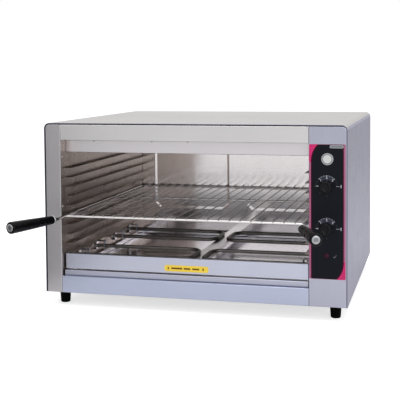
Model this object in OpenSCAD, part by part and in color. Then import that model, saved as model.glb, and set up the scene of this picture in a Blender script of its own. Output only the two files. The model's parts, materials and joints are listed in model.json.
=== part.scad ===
// Countertop cheese melter: an electric grill with an open front, a sliding wire
// rack on five levels of side runners, hairpin heating elements above and below
// the rack, a sliding drip tray, and a control column on the right-hand side.
//
// X runs to the right, Y from the front frame to the back, Z up. The pieces are
// drawn with y = 0 on the front frame's face and z = 0 on the underside of the
// casing, and on_origin() moves them onto the part's own origin.

/* [Casing] */
// Width over the outer wrapper
body_w = 650; // [600:1:760]
// Depth from the front frame's face to the back of the wrapper
body_d = 588; // [540:1:680]
// Height of the casing, without its feet
body_h = 367; // [345:1:420]
// Thickness of the stainless sheet
sheet = 1.2; // [0.8:0.1:1.6]
// Outside radius of the wrapper's two top corners
corner_r = 12; // [8:1:20]
// Shadow gap between the wrapper and the front frame
frame_gap = 1.8; // [1:0.1:3]
// Gap at the butt joints of the front frame
seam = 0.4; // [0.2:0.1:1]
// Depth of the front frame's folded edges
fold_d = 28; // [20:1:32]
// Depth of the folds that sit on the base
foot_fold_d = 11; // [8:1:13]
// Space between the cavity's back panel and the back of the wrapper
rear_space = 28; // [24:1:60]
// Height of the upturned edges of the base
base_lip = 15; // [8:1:25]
// Width of the rim that the rear cover is screwed to
rear_rim = 14; // [10:1:20]

/* [Front frame] */
// Width of the left stile
stile_w = 34.5; // [30:0.5:50]
// Width of the control column's fascia
fascia_w = 74.5; // [70:0.5:100]
// Height of the rail over the opening
top_rail_h = 34; // [25:1:45]
// Height of the rail under the opening
bottom_rail_h = 36; // [33:1:45]
// Set-back of the valance behind the frame's face
valance_y = 30; // [29:1:40]
// Height of the valance that shows under the top rail
valance_drop = 28; // [15:1:32]
// Depth of the fold along the valance's lower edge
valance_fold = 14; // [8:1:20]

/* [Cavity] */
// Gap between the top of the cavity and the top of the casing
roof_space = 22; // [18:1:30]
// Distance that a cavity wall reaches in front of the frame's folded edge
wall_lap = 16; // [10:1:18]
// Width of the flanges that join the cavity's sheets
wall_flange = 10; // [6:1:14]
// Width of each pressed panel in the back wall
press_w = 200; // [150:1:210]
// Distance from a pressed panel to the side wall
press_side = 41; // [30:1:60]
// Height of the pressed panels
press_h = 190; // [120:1:200]
// Height of the pressed panels' lower edge over the casing's underside
press_z = 104; // [90:1:120]
// Depth of the pressed panels
press_depth = 2.5; // [2:0.5:8]
// Width of the sloping edge round a pressed panel
press_slope = 10; // [4:0.5:12]
// Size of the corner cut of a pressed panel
press_corner = 22; // [10:1:35]

/* [Rack runners] */
// Height of the lowest runner over the casing's underside
runner_z = 79.4; // [78:0.1:84]
// Distance between one runner level and the next
runner_pitch = 41.5; // [38:0.5:43]
// Height of a runner channel
runner_h = 22; // [16:0.5:26]
// Width of a runner's flanges
runner_w = 13.2; // [10:0.1:14]
// Distance from the runners' front end to the frame's folded edge
runner_front = 1; // [0.5:0.5:10]
// Distance from the runners' back end to the cavity's back panel
runner_back = 4; // [1:0.5:10]
// Level on which the rack is stored
rack_level = 3; // [1:1:5]

/* [Wire rack] */
// Clearance between the rack and each side of the opening
rack_clear = 2.5; // [1:0.1:4]
// Clearance under a moving piece that slides on its runners
slide_clear = 0.3; // [0.2:0.05:0.6]
// Distance of the front wire's centre behind the frame's face
rack_front = 2; // [0:0.5:8]
// Distance from the rear wire to the cavity's back panel
rack_back = 10; // [6:1:30]
// Diameter of the border and the stay wires
border_d = 5; // [4:0.1:6]
// Diameter of the cross wires
wire_d = 3; // [2:0.1:4]
// Aimed distance between cross wires
wire_pitch = 23; // [18:0.5:30]
// Radius of the border's corners, on the wire's centre
border_r = 10; // [8:1:16]
// Shift of the stay wire to the back of the rack's middle
stay_wire_shift = 40; // [0:5:80]
// Depth by which welded wires sink into each other
weld = 0.2; // [0.1:0.05:0.4]
// Depth by which the handle rods sink into the border's sides, in their weld
rod_sink = 0.1; // [0.05:0.05:0.2]
// Clearance of the handle rods' notches over the border's corners
notch_gap = 0.1; // [0.05:0.05:0.3]
// Travel of the rack on its runners
rack_travel = 400; // [200:10:450]

/* [Handles] */
// Diameter of the handle rods
rod_d = 6; // [5:0.5:8]
// Length of the rod that is welded along the rack's border
rod_weld = 60; // [30:5:120]
// Length of the straight rod in front of the rack
rod_reach = 40; // [25:1:60]
// Bend radius of the rod, on its centre
rod_bend = 25; // [15:1:40]
// Outward splay of the grips, in degrees
splay = 20.4; // [10:0.2:30]
// Length of rod between the bend and the grip's ferrule
rod_neck = 9; // [8:0.5:20]
// Length of the grip
grip_l = 119; // [90:1:140]
// Diameter of the grip at the ferrule
grip_d1 = 17.5; // [15:0.5:22]
// Diameter of the grip at its free end
grip_d2 = 24.5; // [20:0.5:30]
// Thickness of the ferrule
ferrule_t = 4; // [2:0.5:8]
// Width over the flats of the locking nut
lock_nut_w = 10; // [9:0.5:12]
// Thickness of the locking nut
lock_nut_t = 5; // [3:0.5:6]
// Diameter of the end cap
cap_d = 16; // [12:0.5:18]
// Height of the end cap over the grip's end
cap_t = 1.6; // [1:0.1:3]

/* [Drip tray] */
// Clearance between the tray and each side of the opening
tray_clear = 2.8; // [2:0.1:6]
// Set-back of the tray's front behind the frame's face
tray_front = 10; // [6:0.5:12]
// Height of the tray
tray_h = 11; // [8:0.5:13]
// Thickness of the tray's sheet
tray_t = 1; // [0.8:0.1:1.5]
// Width of the lips along the tray's sides
tray_lip = 4.5; // [3:0.5:8]
// Depth of the fold on top of the tray's front
tray_fold = 8; // [4:1:12]
// Distance from the tray to the cavity's back panel
tray_back = 14; // [8:1:30]
// Gap over the bottom rail and the tray runners' height above it
tray_rise = 0.4; // [0.3:0.1:1]
// Width of the tray runners
tray_runner_w = 14; // [12:0.5:18]
// Set-back of the apron behind the frame's face
apron_y = 15; // [14:0.5:18]
// Gap between the tray and the apron over it
apron_gap = 2.6; // [1.5:0.1:4]
// Height of the apron
apron_h = 32; // [26:1:36]
// Depth of the apron's side folds
apron_fold = 20; // [14:1:26]
// Travel of the tray on its runners
tray_travel = 420; // [200:10:450]

/* [Heating elements] */
// Diameter of the heating tubes
tube_d = 8.5; // [6.5:0.1:9]
// Distance between a hairpin's two legs
leg_gap = 108; // [80:1:120]
// Bend radius of the hairpins, on the tube's centre
tube_bend = 26; // [18:1:40]
// Middle of the front hairpins, behind the frame's face
front_pair_y = 146; // [120:1:160]
// Middle of the rear hairpins, behind the frame's face
rear_pair_y = 384; // [320:1:400]
// Gap between the left and the right hairpins
pair_gap = 18; // [10:1:30]
// Height of the lower centre stay's top over the casing's underside
stay_z = 61.7; // [60:0.1:64]
// Depth of the upper elements' centre under the cavity's top
upper_drop = 24; // [18:1:30]
// Width of the centre stays
stay_w = 32; // [24:1:40]
// Height of the centre stays' folded sides
stay_h = 9; // [6:1:9]
// Shift of the centre stays to the right of the cavity's middle
stay_shift = 6; // [0:0.5:10]
// Length of the cold ends behind the cavity walls
cold_end = 14; // [10:1:20]
// Diameter of the terminal pins
pin_d = 4; // [3:0.5:5]
// Length of the terminal pins
pin_l = 12; // [8:1:14]
// Clearance round the tubes where they pass through sheet and nuts
tube_clear = 0.4; // [0.2:0.1:1]
// Width over the flats of the elements' fixing nuts
tube_nut_w = 19; // [15:0.5:22]
// Thickness of the elements' fixing nuts
tube_nut_t = 6; // [4:0.5:8]
// Distance of the hanger straps from the cavity walls
hanger_reach = 26; // [18:1:34]
// Width of the hanger straps
hanger_w = 16; // [13:1:20]

/* [Controls] */
// Distance of the controls' line from the fascia's left edge
control_x = 36; // [32:0.5:40]
// Height of the upper knob over the casing's underside
knob_top_z = 244.5; // [220:0.5:260]
// Distance between the two knobs
knob_pitch = 85.5; // [70:0.5:95]
// Distance from the lower knob down to the indicator lamp
lamp_drop = 54.5; // [45:0.5:65]
// Diameter of the knobs' skirt
knob_d = 26; // [22:0.5:44]
// Height of the knobs
knob_h = 25; // [18:0.5:28]
// Thickness of the knobs' skirt
skirt_t = 4; // [3:0.5:6]
// Width of the lozenge on the knobs' face
bar_w = 11.5; // [7:0.5:12]
// Length of the lozenge on the knobs' face
bar_l = 16.5; // [12:0.5:20]
// Height of the lozenge over the knobs' face
bar_t = 3.5; // [2:0.5:6]
// Clearance between a knob and the panel
knob_clear = 0.6; // [0.4:0.1:1.5]
// Diameter of the spindles
spindle_d = 6; // [5:0.5:8]
// Running clearance of a spindle in its thermostat, on the radius
spindle_fit = 0.05; // [0.02:0.01:0.1]
// Diameter of the clearance holes for the spindles
spindle_hole = 11; // [10:0.5:14]
// Width and height of a thermostat's body
stat_w = 42; // [34:1:50]
// Depth of a thermostat's body
stat_d = 34; // [24:1:50]
// Thickness of a thermostat's bracket
stat_plate = 2; // [1:0.5:3]
// Diameter of the lamp's lens
lens_d = 12; // [9:0.5:14]
// Diameter of the lamp's holder
holder_d = 8.6; // [6:0.2:8.8]
// Length of the lamp's holder behind the fascia
holder_l = 26; // [15:1:35]
// Thickness of the control panel's overlay
panel_t = 0.8; // [0.5:0.1:1.5]
// Height of the control panel's lower edge over the casing's underside
panel_z = 57; // [50:1:65]
// Height of the control panel
panel_h = 271.5; // [255:0.5:275]
// Margin between the control panel and the fascia's side edges
panel_margin = 0.8; // [0.5:0.1:3]

/* [Feet and rear] */
// Height of the feet
foot_h = 30; // [18:1:40]
// Diameter of the feet under the base
foot_d = 24.5; // [20:0.5:30]
// Diameter of the feet at the bottom
foot_d2 = 21; // [18:0.5:24]
// Distance of the feet's centres from the sides
foot_x = 28; // [28:1:60]
// Distance of the feet's centres from the front and the back
foot_y = 40; // [26:1:60]
// Diameter of the feet's studs
stud_d = 6; // [6:1:8]
// Length of the studs over the base
stud_l = 12; // [9:1:16]
// Diameter of the holes in the right-hand side
vent_d = 5; // [3:0.5:8]
// Distance between two holes in one row
vent_pitch_y = 192; // [100:1:200]
// Distance between two rows of holes
vent_pitch_z = 28.5; // [20:0.5:40]
// Length of the slots in the rear cover
slot_l = 42; // [20:1:60]
// Width of the slots in the rear cover
slot_w = 5; // [4:0.5:8]
// Diameter of the cable gland's bore
gland_bore = 10.6; // [8:0.2:14]
// Diameter of the cable gland's collar
gland_d = 24; // [20:1:30]
// Length of the cable gland behind the rear cover
gland_l = 16; // [10:1:25]
// Height of the cable gland over the casing's underside
gland_z = 62; // [50:1:90]
// Thickness of the insulation over the cavity
wool_t = 16; // [8:1:16]
// Gap between the insulation and the ceiling's front and back edges
wool_gap = 12; // [5:1:30]

/* [Hidden] */
$fn = 64;

// Opening and cavity
frame_l = -body_w / 2 + sheet + frame_gap;
frame_r = body_w / 2 - sheet - frame_gap;
frame_top = body_h - sheet - frame_gap;
frame_corner = max(corner_r - sheet - frame_gap, 1);
open_l = frame_l + stile_w;
open_r = frame_r - fascia_w;
open_z0 = bottom_rail_h;
open_z1 = frame_top - top_rail_h;
mid_x = (open_l + open_r) / 2;
half_w = (open_r - open_l) / 2;
wall_in = half_w + sheet;
wall_out = wall_in + sheet;
back_y = body_d - rear_space;
wall_y0 = fold_d - wall_lap;
roof_z = body_h - roof_space;
valance_z = open_z1 - valance_drop;
inside_w = body_w - 2 * sheet;
inside_h = body_h - sheet;
cover_y = body_d - sheet;

// Runners and rack
runner_y0 = fold_d + runner_front;
runner_y1 = back_y - runner_back;
border_rad = border_d / 2;
wire_rad = wire_d / 2;
rod_rad = rod_d / 2;
rack_half = half_w - rack_clear - border_rad;
rack_back_y = back_y - rack_back - border_rad;
rack_z = runner_z + (rack_level - 1) * runner_pitch + sheet + slide_clear + border_rad;
rack_bays = round(2 * rack_half / wire_pitch);
cross_z = rack_z + border_rad + wire_rad - weld;
cross_over = 1.5;
rod_x = rack_half - border_rad - rod_rad + rod_sink;
rod_z = rack_z + rod_rad - border_rad;
bend_y = rack_front - rod_reach;
rod_end_x = rod_x + rod_bend * (1 - cos(splay)) + rod_neck * sin(splay);
rod_end_y = bend_y - rod_bend * sin(splay) - rod_neck * cos(splay);
grip_edge = 2;
cap_dome = 26;
handle_l = ferrule_t + grip_l;
grip_bore_l = grip_l - 20;

// Drip tray and apron
tray_half = half_w - tray_clear;
tray_z = open_z0 + tray_rise + slide_clear;
tray_body_half = tray_half - tray_lip;
tray_y1 = back_y - tray_back;
apron_z = tray_z + tray_h + apron_gap;

// Heating elements
tube_rad = tube_d / 2;
lower_z = stay_z + tube_rad;
upper_z = roof_z - upper_drop;
upper_stay_z = upper_z - tube_rad;
stay_x = mid_x + stay_shift;
tube_hole = tube_d + 2 * tube_clear;
pair_ys = [front_pair_y, rear_pair_y];
leg_ys = [for (y = pair_ys) for (s = [-1, 1]) y + s * leg_gap / 2];

// Controls
controls_x = open_r + control_x;
knob_zs = [knob_top_z, knob_top_z - knob_pitch];
lamp_z = knob_top_z - knob_pitch - lamp_drop;
stat_y = sheet + stat_plate;
spindle_in = 16;
spindle_y0 = -panel_t - knob_clear - knob_h + 6;
spindle_y1 = stat_y + spindle_in;

// Feet and rear
foot_xs = [-body_w / 2 + foot_x, body_w / 2 - foot_x];
foot_ys = [foot_y, body_d - foot_y];
foot_nut_w = 1.6 * stud_d;
foot_nut_t = 0.7 * stud_d;
foot_nut_room = 0.8;
gland_x = (open_r + sheet + body_w / 2) / 2;
gland_nut_t = 5;
vent_y = 267;
vent_top_z = 306.5;

// Reach of the whole part, from which its origin is worked out
tip_x = rod_end_x + (handle_l - grip_edge) * sin(splay);
tip_y = rod_end_y - (handle_l - grip_edge) * cos(splay);
edge_r = grip_d2 / 2 - grip_edge;
reach_out = tip_x + edge_r * cos(splay) + grip_edge;
cap_edge = cap_t - cap_dome + sqrt(pow(cap_dome, 2) - pow(cap_d / 2, 2));
cap_reach = cap_dome * sin(splay) < cap_d / 2
    ? cap_dome + (grip_edge + cap_t - cap_dome) * cos(splay)
    : (grip_edge + cap_edge) * cos(splay) + cap_d / 2 * sin(splay);
reach_front = tip_y - max(edge_r * sin(splay) + grip_edge, cap_reach);
left_x = min(-body_w / 2, mid_x - reach_out);
right_x = max(body_w / 2, mid_x + reach_out);
centre_x = (left_x + right_x) / 2;
centre_y = (reach_front + body_d + gland_l) / 2;

// Colours
STEEL = [0.72, 0.72, 0.76];
LINER = [0.6, 0.58, 0.56];
CHROME = [0.82, 0.82, 0.84];
BLACK = [0.06, 0.06, 0.07];
TUBE = [0.2, 0.2, 0.19];

// ---------------------------------------------------------------- helpers

// Puts a piece, drawn from the frame's face and the casing's underside, on the
// part's origin: the middle of its outline, on the surface it stands on.
module on_origin() {
    translate([-centre_x, -centre_y, foot_h]) children();
}

// Extrudes an outline drawn in X and Z from y = a to y = b.
module along_y(a, b) {
    translate([0, b, 0]) rotate([90, 0, 0]) linear_extrude(b - a) children();
}

// A block between two opposite corners.
module block(a, b) {
    translate(a) cube(b - a);
}

// Mirrors a piece across the middle of the cavity.
module other_side() {
    translate([mid_x, 0, 0]) mirror([1, 0, 0]) translate([-mid_x, 0, 0]) children();
}

// A rod from y = a to y = b.
module rod_y(a, b, r) {
    translate([0, b, 0]) rotate([90, 0, 0]) cylinder(h = b - a, r = r);
}

// A rod from x = a to x = b.
module rod_x(a, b, r) {
    translate([a, 0, 0]) rotate([0, 90, 0]) cylinder(h = b - a, r = r);
}

// Outline with its lower edge at z = a, its top at z = b and round top corners.
module arch(w, a, b, r) {
    translate([-w / 2, a]) square([w, b - r - a]);
    translate([r - w / 2, a]) square([w - 2 * r, b - a]);
    for (s = [-1, 1])
        translate([s * (w / 2 - r), b - r]) circle(r);
}

// Rectangle whose top-left corner, or top-right corner, is round.
module plate_outline(x0, x1, z0, z1, left_r = 0, right_r = 0) {
    difference() {
        translate([x0, z0]) square([x1 - x0, z1 - z0]);
        if (left_r > 0)
            translate([x0, z1 - left_r]) difference() {
                translate([-1, 0]) square([left_r + 1, left_r + 1]);
                translate([left_r, 0]) circle(left_r);
            }
        if (right_r > 0)
            translate([x1 - right_r, z1 - right_r]) difference() {
                square([right_r + 1, right_r + 1]);
                circle(right_r);
            }
    }
}

// A front frame piece: its face, and folded edges behind it on all four sides.
module frame_piece(x0, x1, z0, z1, left_r = 0, right_r = 0) {
    low = max(z0, sheet);
    along_y(0, sheet) plate_outline(x0, x1, z0, z1, left_r, right_r);
    along_y(0, fold_d) difference() {
        plate_outline(x0, x1, low, z1, left_r, right_r);
        plate_outline(x0 + sheet, x1 - sheet, low - 1, z1 - sheet,
            max(left_r - sheet, 0), max(right_r - sheet, 0));
    }
    bottom_d = z0 == 0 ? foot_fold_d : fold_d;
    block([x0, 0, low], [x1, bottom_d, low + sheet]);
}

// Lugs that space a frame piece from the wrapper beside it, from x = a to x = b.
module side_lugs(a, b) {
    lug = 20;
    for (t = [0.15, 0.5, 0.85])
        translate([a, fold_d - sheet, t * body_h - lug / 2]) cube([b - a, sheet, lug]);
}

// A slot with round ends, drawn in X and Z about its middle.
module slot_outline(l, w) {
    square([l - w, w], center = true);
    for (s = [-1, 1])
        translate([s * (l - w) / 2, 0]) circle(w / 2);
}

// ---------------------------------------------------------------- casing

module outer_wrapper() {
    color(STEEL) on_origin() difference() {
        union() {
            along_y(0, body_d) difference() {
                arch(body_w, 0, body_h, corner_r);
                arch(inside_w, -1, inside_h, corner_r - sheet);
            }
            along_y(cover_y - sheet, cover_y) difference() {
                arch(inside_w, 0, inside_h, corner_r - sheet);
                arch(inside_w - 2 * rear_rim, -1, inside_h - rear_rim, corner_r);
            }
        }
        for (row = [0:2]) for (i = [0, 1]) {
            y = vent_y + i * vent_pitch_y - (row % 2) * vent_pitch_y / 2;
            translate([body_w / 2 - 2 * sheet, y, vent_top_z - row * vent_pitch_z])
                rotate([0, 90, 0]) cylinder(h = 3 * sheet, r = vent_d / 2);
        }
        rear_screw_places() rod_y(cover_y - 2 * sheet, cover_y + 1, 1.7);
    }
}

// Places of the screws that hold the rear cover.
module rear_screw_places() {
    edge_x = inside_w / 2 - rear_rim / 2;
    for (s = [-1, 1]) for (t = [0.06, 0.5, 0.94])
        translate([s * edge_x, 0, t * inside_h]) children();
    for (s = [-1, 1])
        translate([s * edge_x / 3, 0, inside_h - rear_rim / 2]) children();
}

module rear_cover() {
    fit = 0.4;
    rows = 3;
    across = 5;
    color(STEEL) on_origin() difference() {
        along_y(cover_y, body_d) difference() {
            arch(inside_w - 2 * fit, sheet, inside_h - fit, corner_r - sheet);
            for (i = [0:across - 1]) for (j = [0:rows - 1])
                translate([(i - (across - 1) / 2) * 1.6 * slot_l, inside_h - 60 - j * 4 * slot_w])
                    slot_outline(slot_l, slot_w);
            for (i = [0:across - 1]) for (j = [0:rows - 1])
                translate([(i - (across - 1) / 2) * 1.6 * slot_l, 50 + j * 4 * slot_w])
                    slot_outline(slot_l, slot_w);
            translate([gland_x, gland_z]) circle(gland_d / 2 - 3);
        }
        rear_screw_places() rod_y(cover_y - 1, body_d + 1, 1.7);
    }
}

module rear_screws() {
    head = 2.2;
    color(CHROME) on_origin() rear_screw_places() difference() {
        union() {
            translate([0, body_d, 0]) rotate([-90, 0, 0]) rotate_extrude() {
                square([2.2, head]);
                intersection() {
                    translate([0, -4.6]) circle(6.8);
                    square([4.2, head]);
                }
            }
            rod_y(cover_y - sheet - 5, body_d, 1.6);
        }
        for (a = [0, 90])
            translate([0, body_d + head, 0]) rotate([0, a, 0])
                cube([4.2, 2.4, 0.9], center = true);
    }
}

module base_pan() {
    fit = 0.2;
    w = inside_w / 2 - fit;
    y0 = sheet + fit;
    y1 = cover_y - sheet - fit;
    vents = 6;
    color(STEEL) on_origin() difference() {
        union() {
            block([-w, y0, 0], [w, y1, sheet]);
            for (s = [-1, 1])
                block([s > 0 ? w - sheet : -w, fold_d + 1, 0],
                    [s > 0 ? w : sheet - w, y1, base_lip]);
            block([-w, y1 - sheet, 0], [w, y1, base_lip]);
        }
        for (x = foot_xs) for (y = foot_ys)
            translate([x, y, -1]) cylinder(h = sheet + 2, r = stud_d / 2 + 0.2);
        for (i = [0:vents - 1])
            translate([mid_x + (i - (vents - 1) / 2) * 1.7 * slot_l, back_y - 60, -1])
                linear_extrude(sheet + 2) slot_outline(slot_l, slot_w);
        for (x = [gland_x - 14, gland_x + 14])
            translate([x, 120, -1]) linear_extrude(sheet + 2)
                rotate(90) slot_outline(slot_l, slot_w);
    }
}

// Room that the folded edges leave for the feet's nuts and studs.
module foot_nut_reliefs() {
    for (x = foot_xs) for (y = foot_ys)
        translate([x, y, 0]) cylinder(h = max(sheet + foot_nut_t, stud_l) + foot_nut_room,
            r = foot_nut_w / sqrt(3) + foot_nut_room);
}

module feet() {
    ring = 1.5;
    color(BLACK) on_origin() for (x = foot_xs) for (y = foot_ys) translate([x, y, 0]) {
        rotate_extrude() difference() {
            polygon([[0, 0], [foot_d / 2, 0], [foot_d / 2, -4], [foot_d2 / 2, 3 - foot_h],
                [foot_d2 / 2 - 1.2, 0.8 - foot_h], [foot_d2 / 2 - 3, -foot_h], [0, -foot_h]]);
            translate([0, -foot_h - 1]) square([foot_d2 / 4, 1 + 3 * ring]);
        }
        cylinder(h = stud_l, r = stud_d / 2);
        translate([0, 0, sheet]) rotate(30)
            cylinder(h = foot_nut_t, r = foot_nut_w / sqrt(3), $fn = 6);
    }
}

// ---------------------------------------------------------------- front frame

module left_stile() {
    color(STEEL) on_origin() {
        difference() {
            frame_piece(frame_l, open_l, 0, frame_top, left_r = frame_corner);
            foot_nut_reliefs();
        }
        side_lugs(frame_l - frame_gap, frame_l);
    }
}

module control_fascia() {
    color(STEEL) on_origin() {
        difference() {
            frame_piece(open_r, frame_r, 0, frame_top, right_r = frame_corner);
            control_holes(-1, sheet + 1, spindle_hole, holder_d + 0.4);
        }
        side_lugs(frame_r, frame_r + frame_gap);
    }
}

// Holes for the two spindles and the lamp.
module control_holes(y0, y1, knob_hole, lamp_hole) {
    for (z = knob_zs)
        translate([controls_x, 0, z]) rod_y(y0, y1, knob_hole / 2);
    translate([controls_x, 0, lamp_z]) rod_y(y0, y1, lamp_hole / 2);
}

module top_rail() {
    lug = 24;
    color(STEEL) on_origin() {
        frame_piece(open_l + seam, open_r - seam, open_z1, frame_top);
        for (t = [0.2, 0.5, 0.8])
            translate([open_l + t * 2 * half_w - lug / 2, fold_d - sheet, frame_top])
                cube([lug, sheet, frame_gap]);
    }
}

module bottom_rail() {
    color(STEEL) on_origin() frame_piece(open_l + seam, open_r - seam, 0, open_z0);
}

module valance() {
    color(STEEL) on_origin() {
        block([mid_x - wall_in, valance_y, valance_z],
            [mid_x + wall_in, valance_y + sheet, roof_z]);
        block([mid_x - wall_in, valance_y, valance_z],
            [mid_x + wall_in, valance_y + valance_fold, valance_z + sheet]);
    }
}

module apron() {
    back = apron_y + apron_fold;
    top = apron_z + apron_h;
    tab_top = runner_z - 1.5;
    color(STEEL) on_origin() {
        block([mid_x - tray_half, apron_y, apron_z], [mid_x + tray_half, apron_y + sheet, top]);
        block([mid_x - tray_half, apron_y, top - sheet],
            [mid_x + tray_half, apron_y + apron_fold / 2, top]);
        for (side = [0, 1]) mirror_if(side) {
            block([mid_x - tray_half, apron_y, apron_z],
                [mid_x - tray_half + sheet, back, tab_top]);
            block([mid_x - wall_in, back - sheet, apron_z],
                [mid_x - tray_half + sheet, back, tab_top]);
        }
    }
}

// Draws a left-hand piece as it is, or its twin on the right of the cavity.
module mirror_if(side) {
    if (side == 1) other_side() children();
    else children();
}

// ---------------------------------------------------------------- cavity

// The left wall, from the base to the ceiling, with holes for the elements.
module side_wall() {
    x_in = mid_x - wall_in;
    x_out = mid_x - wall_out;
    difference() {
        union() {
            block([x_out, wall_y0, sheet], [x_in, back_y, roof_z]);
            block([x_out - wall_flange, wall_y0, roof_z - sheet], [x_in, back_y, roof_z]);
            block([x_out - wall_flange, fold_d + 2, sheet], [x_in, back_y, 2 * sheet]);
            block([x_out - wall_flange, back_y - sheet, sheet], [x_in, back_y, roof_z]);
        }
        for (y = leg_ys) for (z = [lower_z, upper_z])
            translate([0, y, z]) rod_x(x_out - 1, x_in + 1, tube_hole / 2);
    }
}

module cavity_left_wall() {
    color(LINER) on_origin() difference() {
        side_wall();
        foot_nut_reliefs();
    }
}

module cavity_right_wall() {
    color(LINER) on_origin() difference() {
        other_side() side_wall();
        foot_nut_reliefs();
    }
}

// Sides of one pressed panel, grown outwards by g: straight walls that lean in
// towards the bottom of the pressing, with its corners cut off at 45 degrees.
module pressing(g) {
    w = press_w / 2;
    h = press_h / 2;
    c = (w + h - press_corner) / sqrt(2);
    d = press_depth;
    s = press_slope;
    reach = 2 * (w + h);
    intersection() {
        translate([0, 0, -reach / 2]) linear_extrude(reach)
            slope_outline(w + g, d + g, s);
        rotate([0, 90, 0]) translate([0, 0, -reach / 2]) linear_extrude(reach)
            slope_outline(h + g, d + g, s);
        for (a = [45, -45])
            rotate([0, a, 0]) translate([0, 0, -reach / 2]) linear_extrude(reach)
                slope_outline(c + g, d + g, s);
    }
}

// Half-width w at the sheet's face, narrower by s at depth d behind it.
module slope_outline(w, d, s) {
    polygon([[-w, -1], [w, -1], [w, 0], [w - s, d], [s - w, d], [-w, 0]]);
}

module cavity_back() {
    z0 = open_z0 - 6;
    places = [mid_x - half_w + press_side + press_w / 2,
        mid_x + half_w - press_side - press_w / 2];
    color(LINER) on_origin() difference() {
        union() {
            block([mid_x - wall_out - wall_flange, back_y, z0],
                [mid_x + wall_out + wall_flange, back_y + sheet, roof_z + sheet]);
            for (x = places)
                translate([x, back_y, press_z + press_h / 2]) intersection() {
                    pressing(sheet);
                    block([-press_w, 0, -press_h], [press_w, 20, press_h]);
                }
        }
        for (x = places)
            translate([x, back_y, press_z + press_h / 2]) pressing(0);
    }
}

module cavity_ceiling() {
    w = wall_out + wall_flange;
    beads = 3;
    color(LINER) on_origin() difference() {
        union() {
            block([mid_x - w, valance_y, roof_z], [mid_x + w, back_y, roof_z + sheet]);
            for (i = [1:beads])
                bead(i * back_y / (beads + 1), 4 + sheet);
        }
        for (i = [1:beads])
            translate([0, 0, -sheet]) bead(i * back_y / (beads + 1), 4 + sheet);
    }
}

// A stiffening bead pressed upwards across the ceiling.
module bead(y, h) {
    l = half_w - 40;
    translate([mid_x - l, y, roof_z + h - 12]) rotate([0, 90, 0]) intersection() {
        cylinder(h = 2 * l, r = 12);
        translate([h - 12 - sheet - 24, -12, 0]) cube([24 + sheet, 24, 2 * l]);
    }
}

// ---------------------------------------------------------------- runners

// Channel on level k of the left wall.
module runner(k) {
    x = mid_x - wall_in;
    z = runner_z + (k - 1) * runner_pitch;
    color(LINER) translate([x, runner_y0, z]) difference() {
        cube([runner_w, runner_y1 - runner_y0, runner_h]);
        translate([sheet, -1, sheet])
            cube([runner_w, runner_y1 - runner_y0 + 2, runner_h - 2 * sheet]);
    }
}

module runner_left(k) {
    on_origin() runner(k);
}

module runner_right(k) {
    on_origin() other_side() runner(k);
}

// Angle on the left wall that carries the drip tray.
module tray_runner() {
    x = mid_x - wall_in;
    top = open_z0 + tray_rise;
    leg = 14;
    color(STEEL) {
        block([x, runner_y0, top - sheet], [x + tray_runner_w, runner_y1, top]);
        block([x, runner_y0, top - leg], [x + sheet, runner_y1, top]);
    }
}

module tray_runner_left() {
    on_origin() tray_runner();
}

module tray_runner_right() {
    on_origin() other_side() tray_runner();
}

// ---------------------------------------------------------------- drip tray

module drip_tray() {
    x0 = mid_x - tray_body_half;
    x1 = mid_x + tray_body_half;
    top = tray_z + tray_h;
    color(STEEL) on_origin() {
        difference() {
            block([x0, tray_front, tray_z], [x1, tray_y1, top]);
            block([x0 + tray_t, tray_front + tray_t, tray_z + tray_t],
                [x1 - tray_t, tray_y1 - tray_t, top + 1]);
        }
        block([mid_x - tray_half, tray_front, tray_z],
            [mid_x + tray_half, tray_front + tray_t, top]);
        block([mid_x - tray_half, tray_front, top - tray_t],
            [mid_x + tray_half, tray_front + tray_fold, top]);
        for (side = [0, 1]) mirror_if(side)
            block([mid_x - tray_half, tray_front, top - tray_t],
                [x0 + tray_t, tray_y1, top]);
    }
}

// ---------------------------------------------------------------- elements

// A folded stay along the cavity whose top is at height z, from y = a to back_y.
module stay(a, z) {
    t = 1.5;
    color(STEEL) translate([stay_x - stay_w / 2, a, 0]) {
        translate([0, 0, z - t]) cube([stay_w, back_y - a, t]);
        for (x = [0, stay_w - t])
            translate([x, 0, z - stay_h]) cube([t, back_y - a, stay_h]);
    }
}

module lower_stay() {
    on_origin() stay(apron_y + sheet, stay_z);
}

module upper_stay() {
    on_origin() stay(valance_y + sheet, upper_stay_z);
}

// A hairpin on the left: two legs through the wall, joined by a bend whose
// outside reaches x = tip.
module hairpin(y, z, wall, tip) {
    cx = tip - tube_rad - tube_bend;
    start = wall - sheet - cold_end;
    straight = leg_gap / 2 - tube_bend;
    color(TUBE) translate([0, y, z]) {
        for (s = [-1, 1]) {
            translate([0, s * leg_gap / 2, 0]) {
                rod_x(start, cx, tube_rad);
                rod_x(start - pin_l, start, pin_d / 2);
            }
            translate([cx, s * straight, 0]) rotate([0, 0, s > 0 ? 0 : -90])
                rotate_extrude(angle = 90) translate([tube_bend, 0]) circle(tube_rad);
        }
        translate([cx + tube_bend, 0, 0]) rod_y(-straight, straight, tube_rad);
    }
}

module element_left(y, z) {
    on_origin() hairpin(y, z, mid_x - wall_in, stay_x - pair_gap / 2);
}

module element_right(y, z) {
    on_origin() other_side()
        hairpin(y, z, mid_x - wall_in, 2 * mid_x - stay_x - pair_gap / 2);
}

// Fixing nuts on the inside of both walls.
module element_nuts() {
    color(CHROME) on_origin() for (side = [0, 1]) mirror_if(side)
        for (y = leg_ys) for (z = [lower_z, upper_z])
            translate([mid_x - wall_in, y, z]) rotate([0, 90, 0]) difference() {
                cylinder(h = tube_nut_t, r = tube_nut_w / sqrt(3), $fn = 6);
                translate([0, 0, -1]) cylinder(h = tube_nut_t + 2, r = tube_hole / 2);
            }
}

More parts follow.
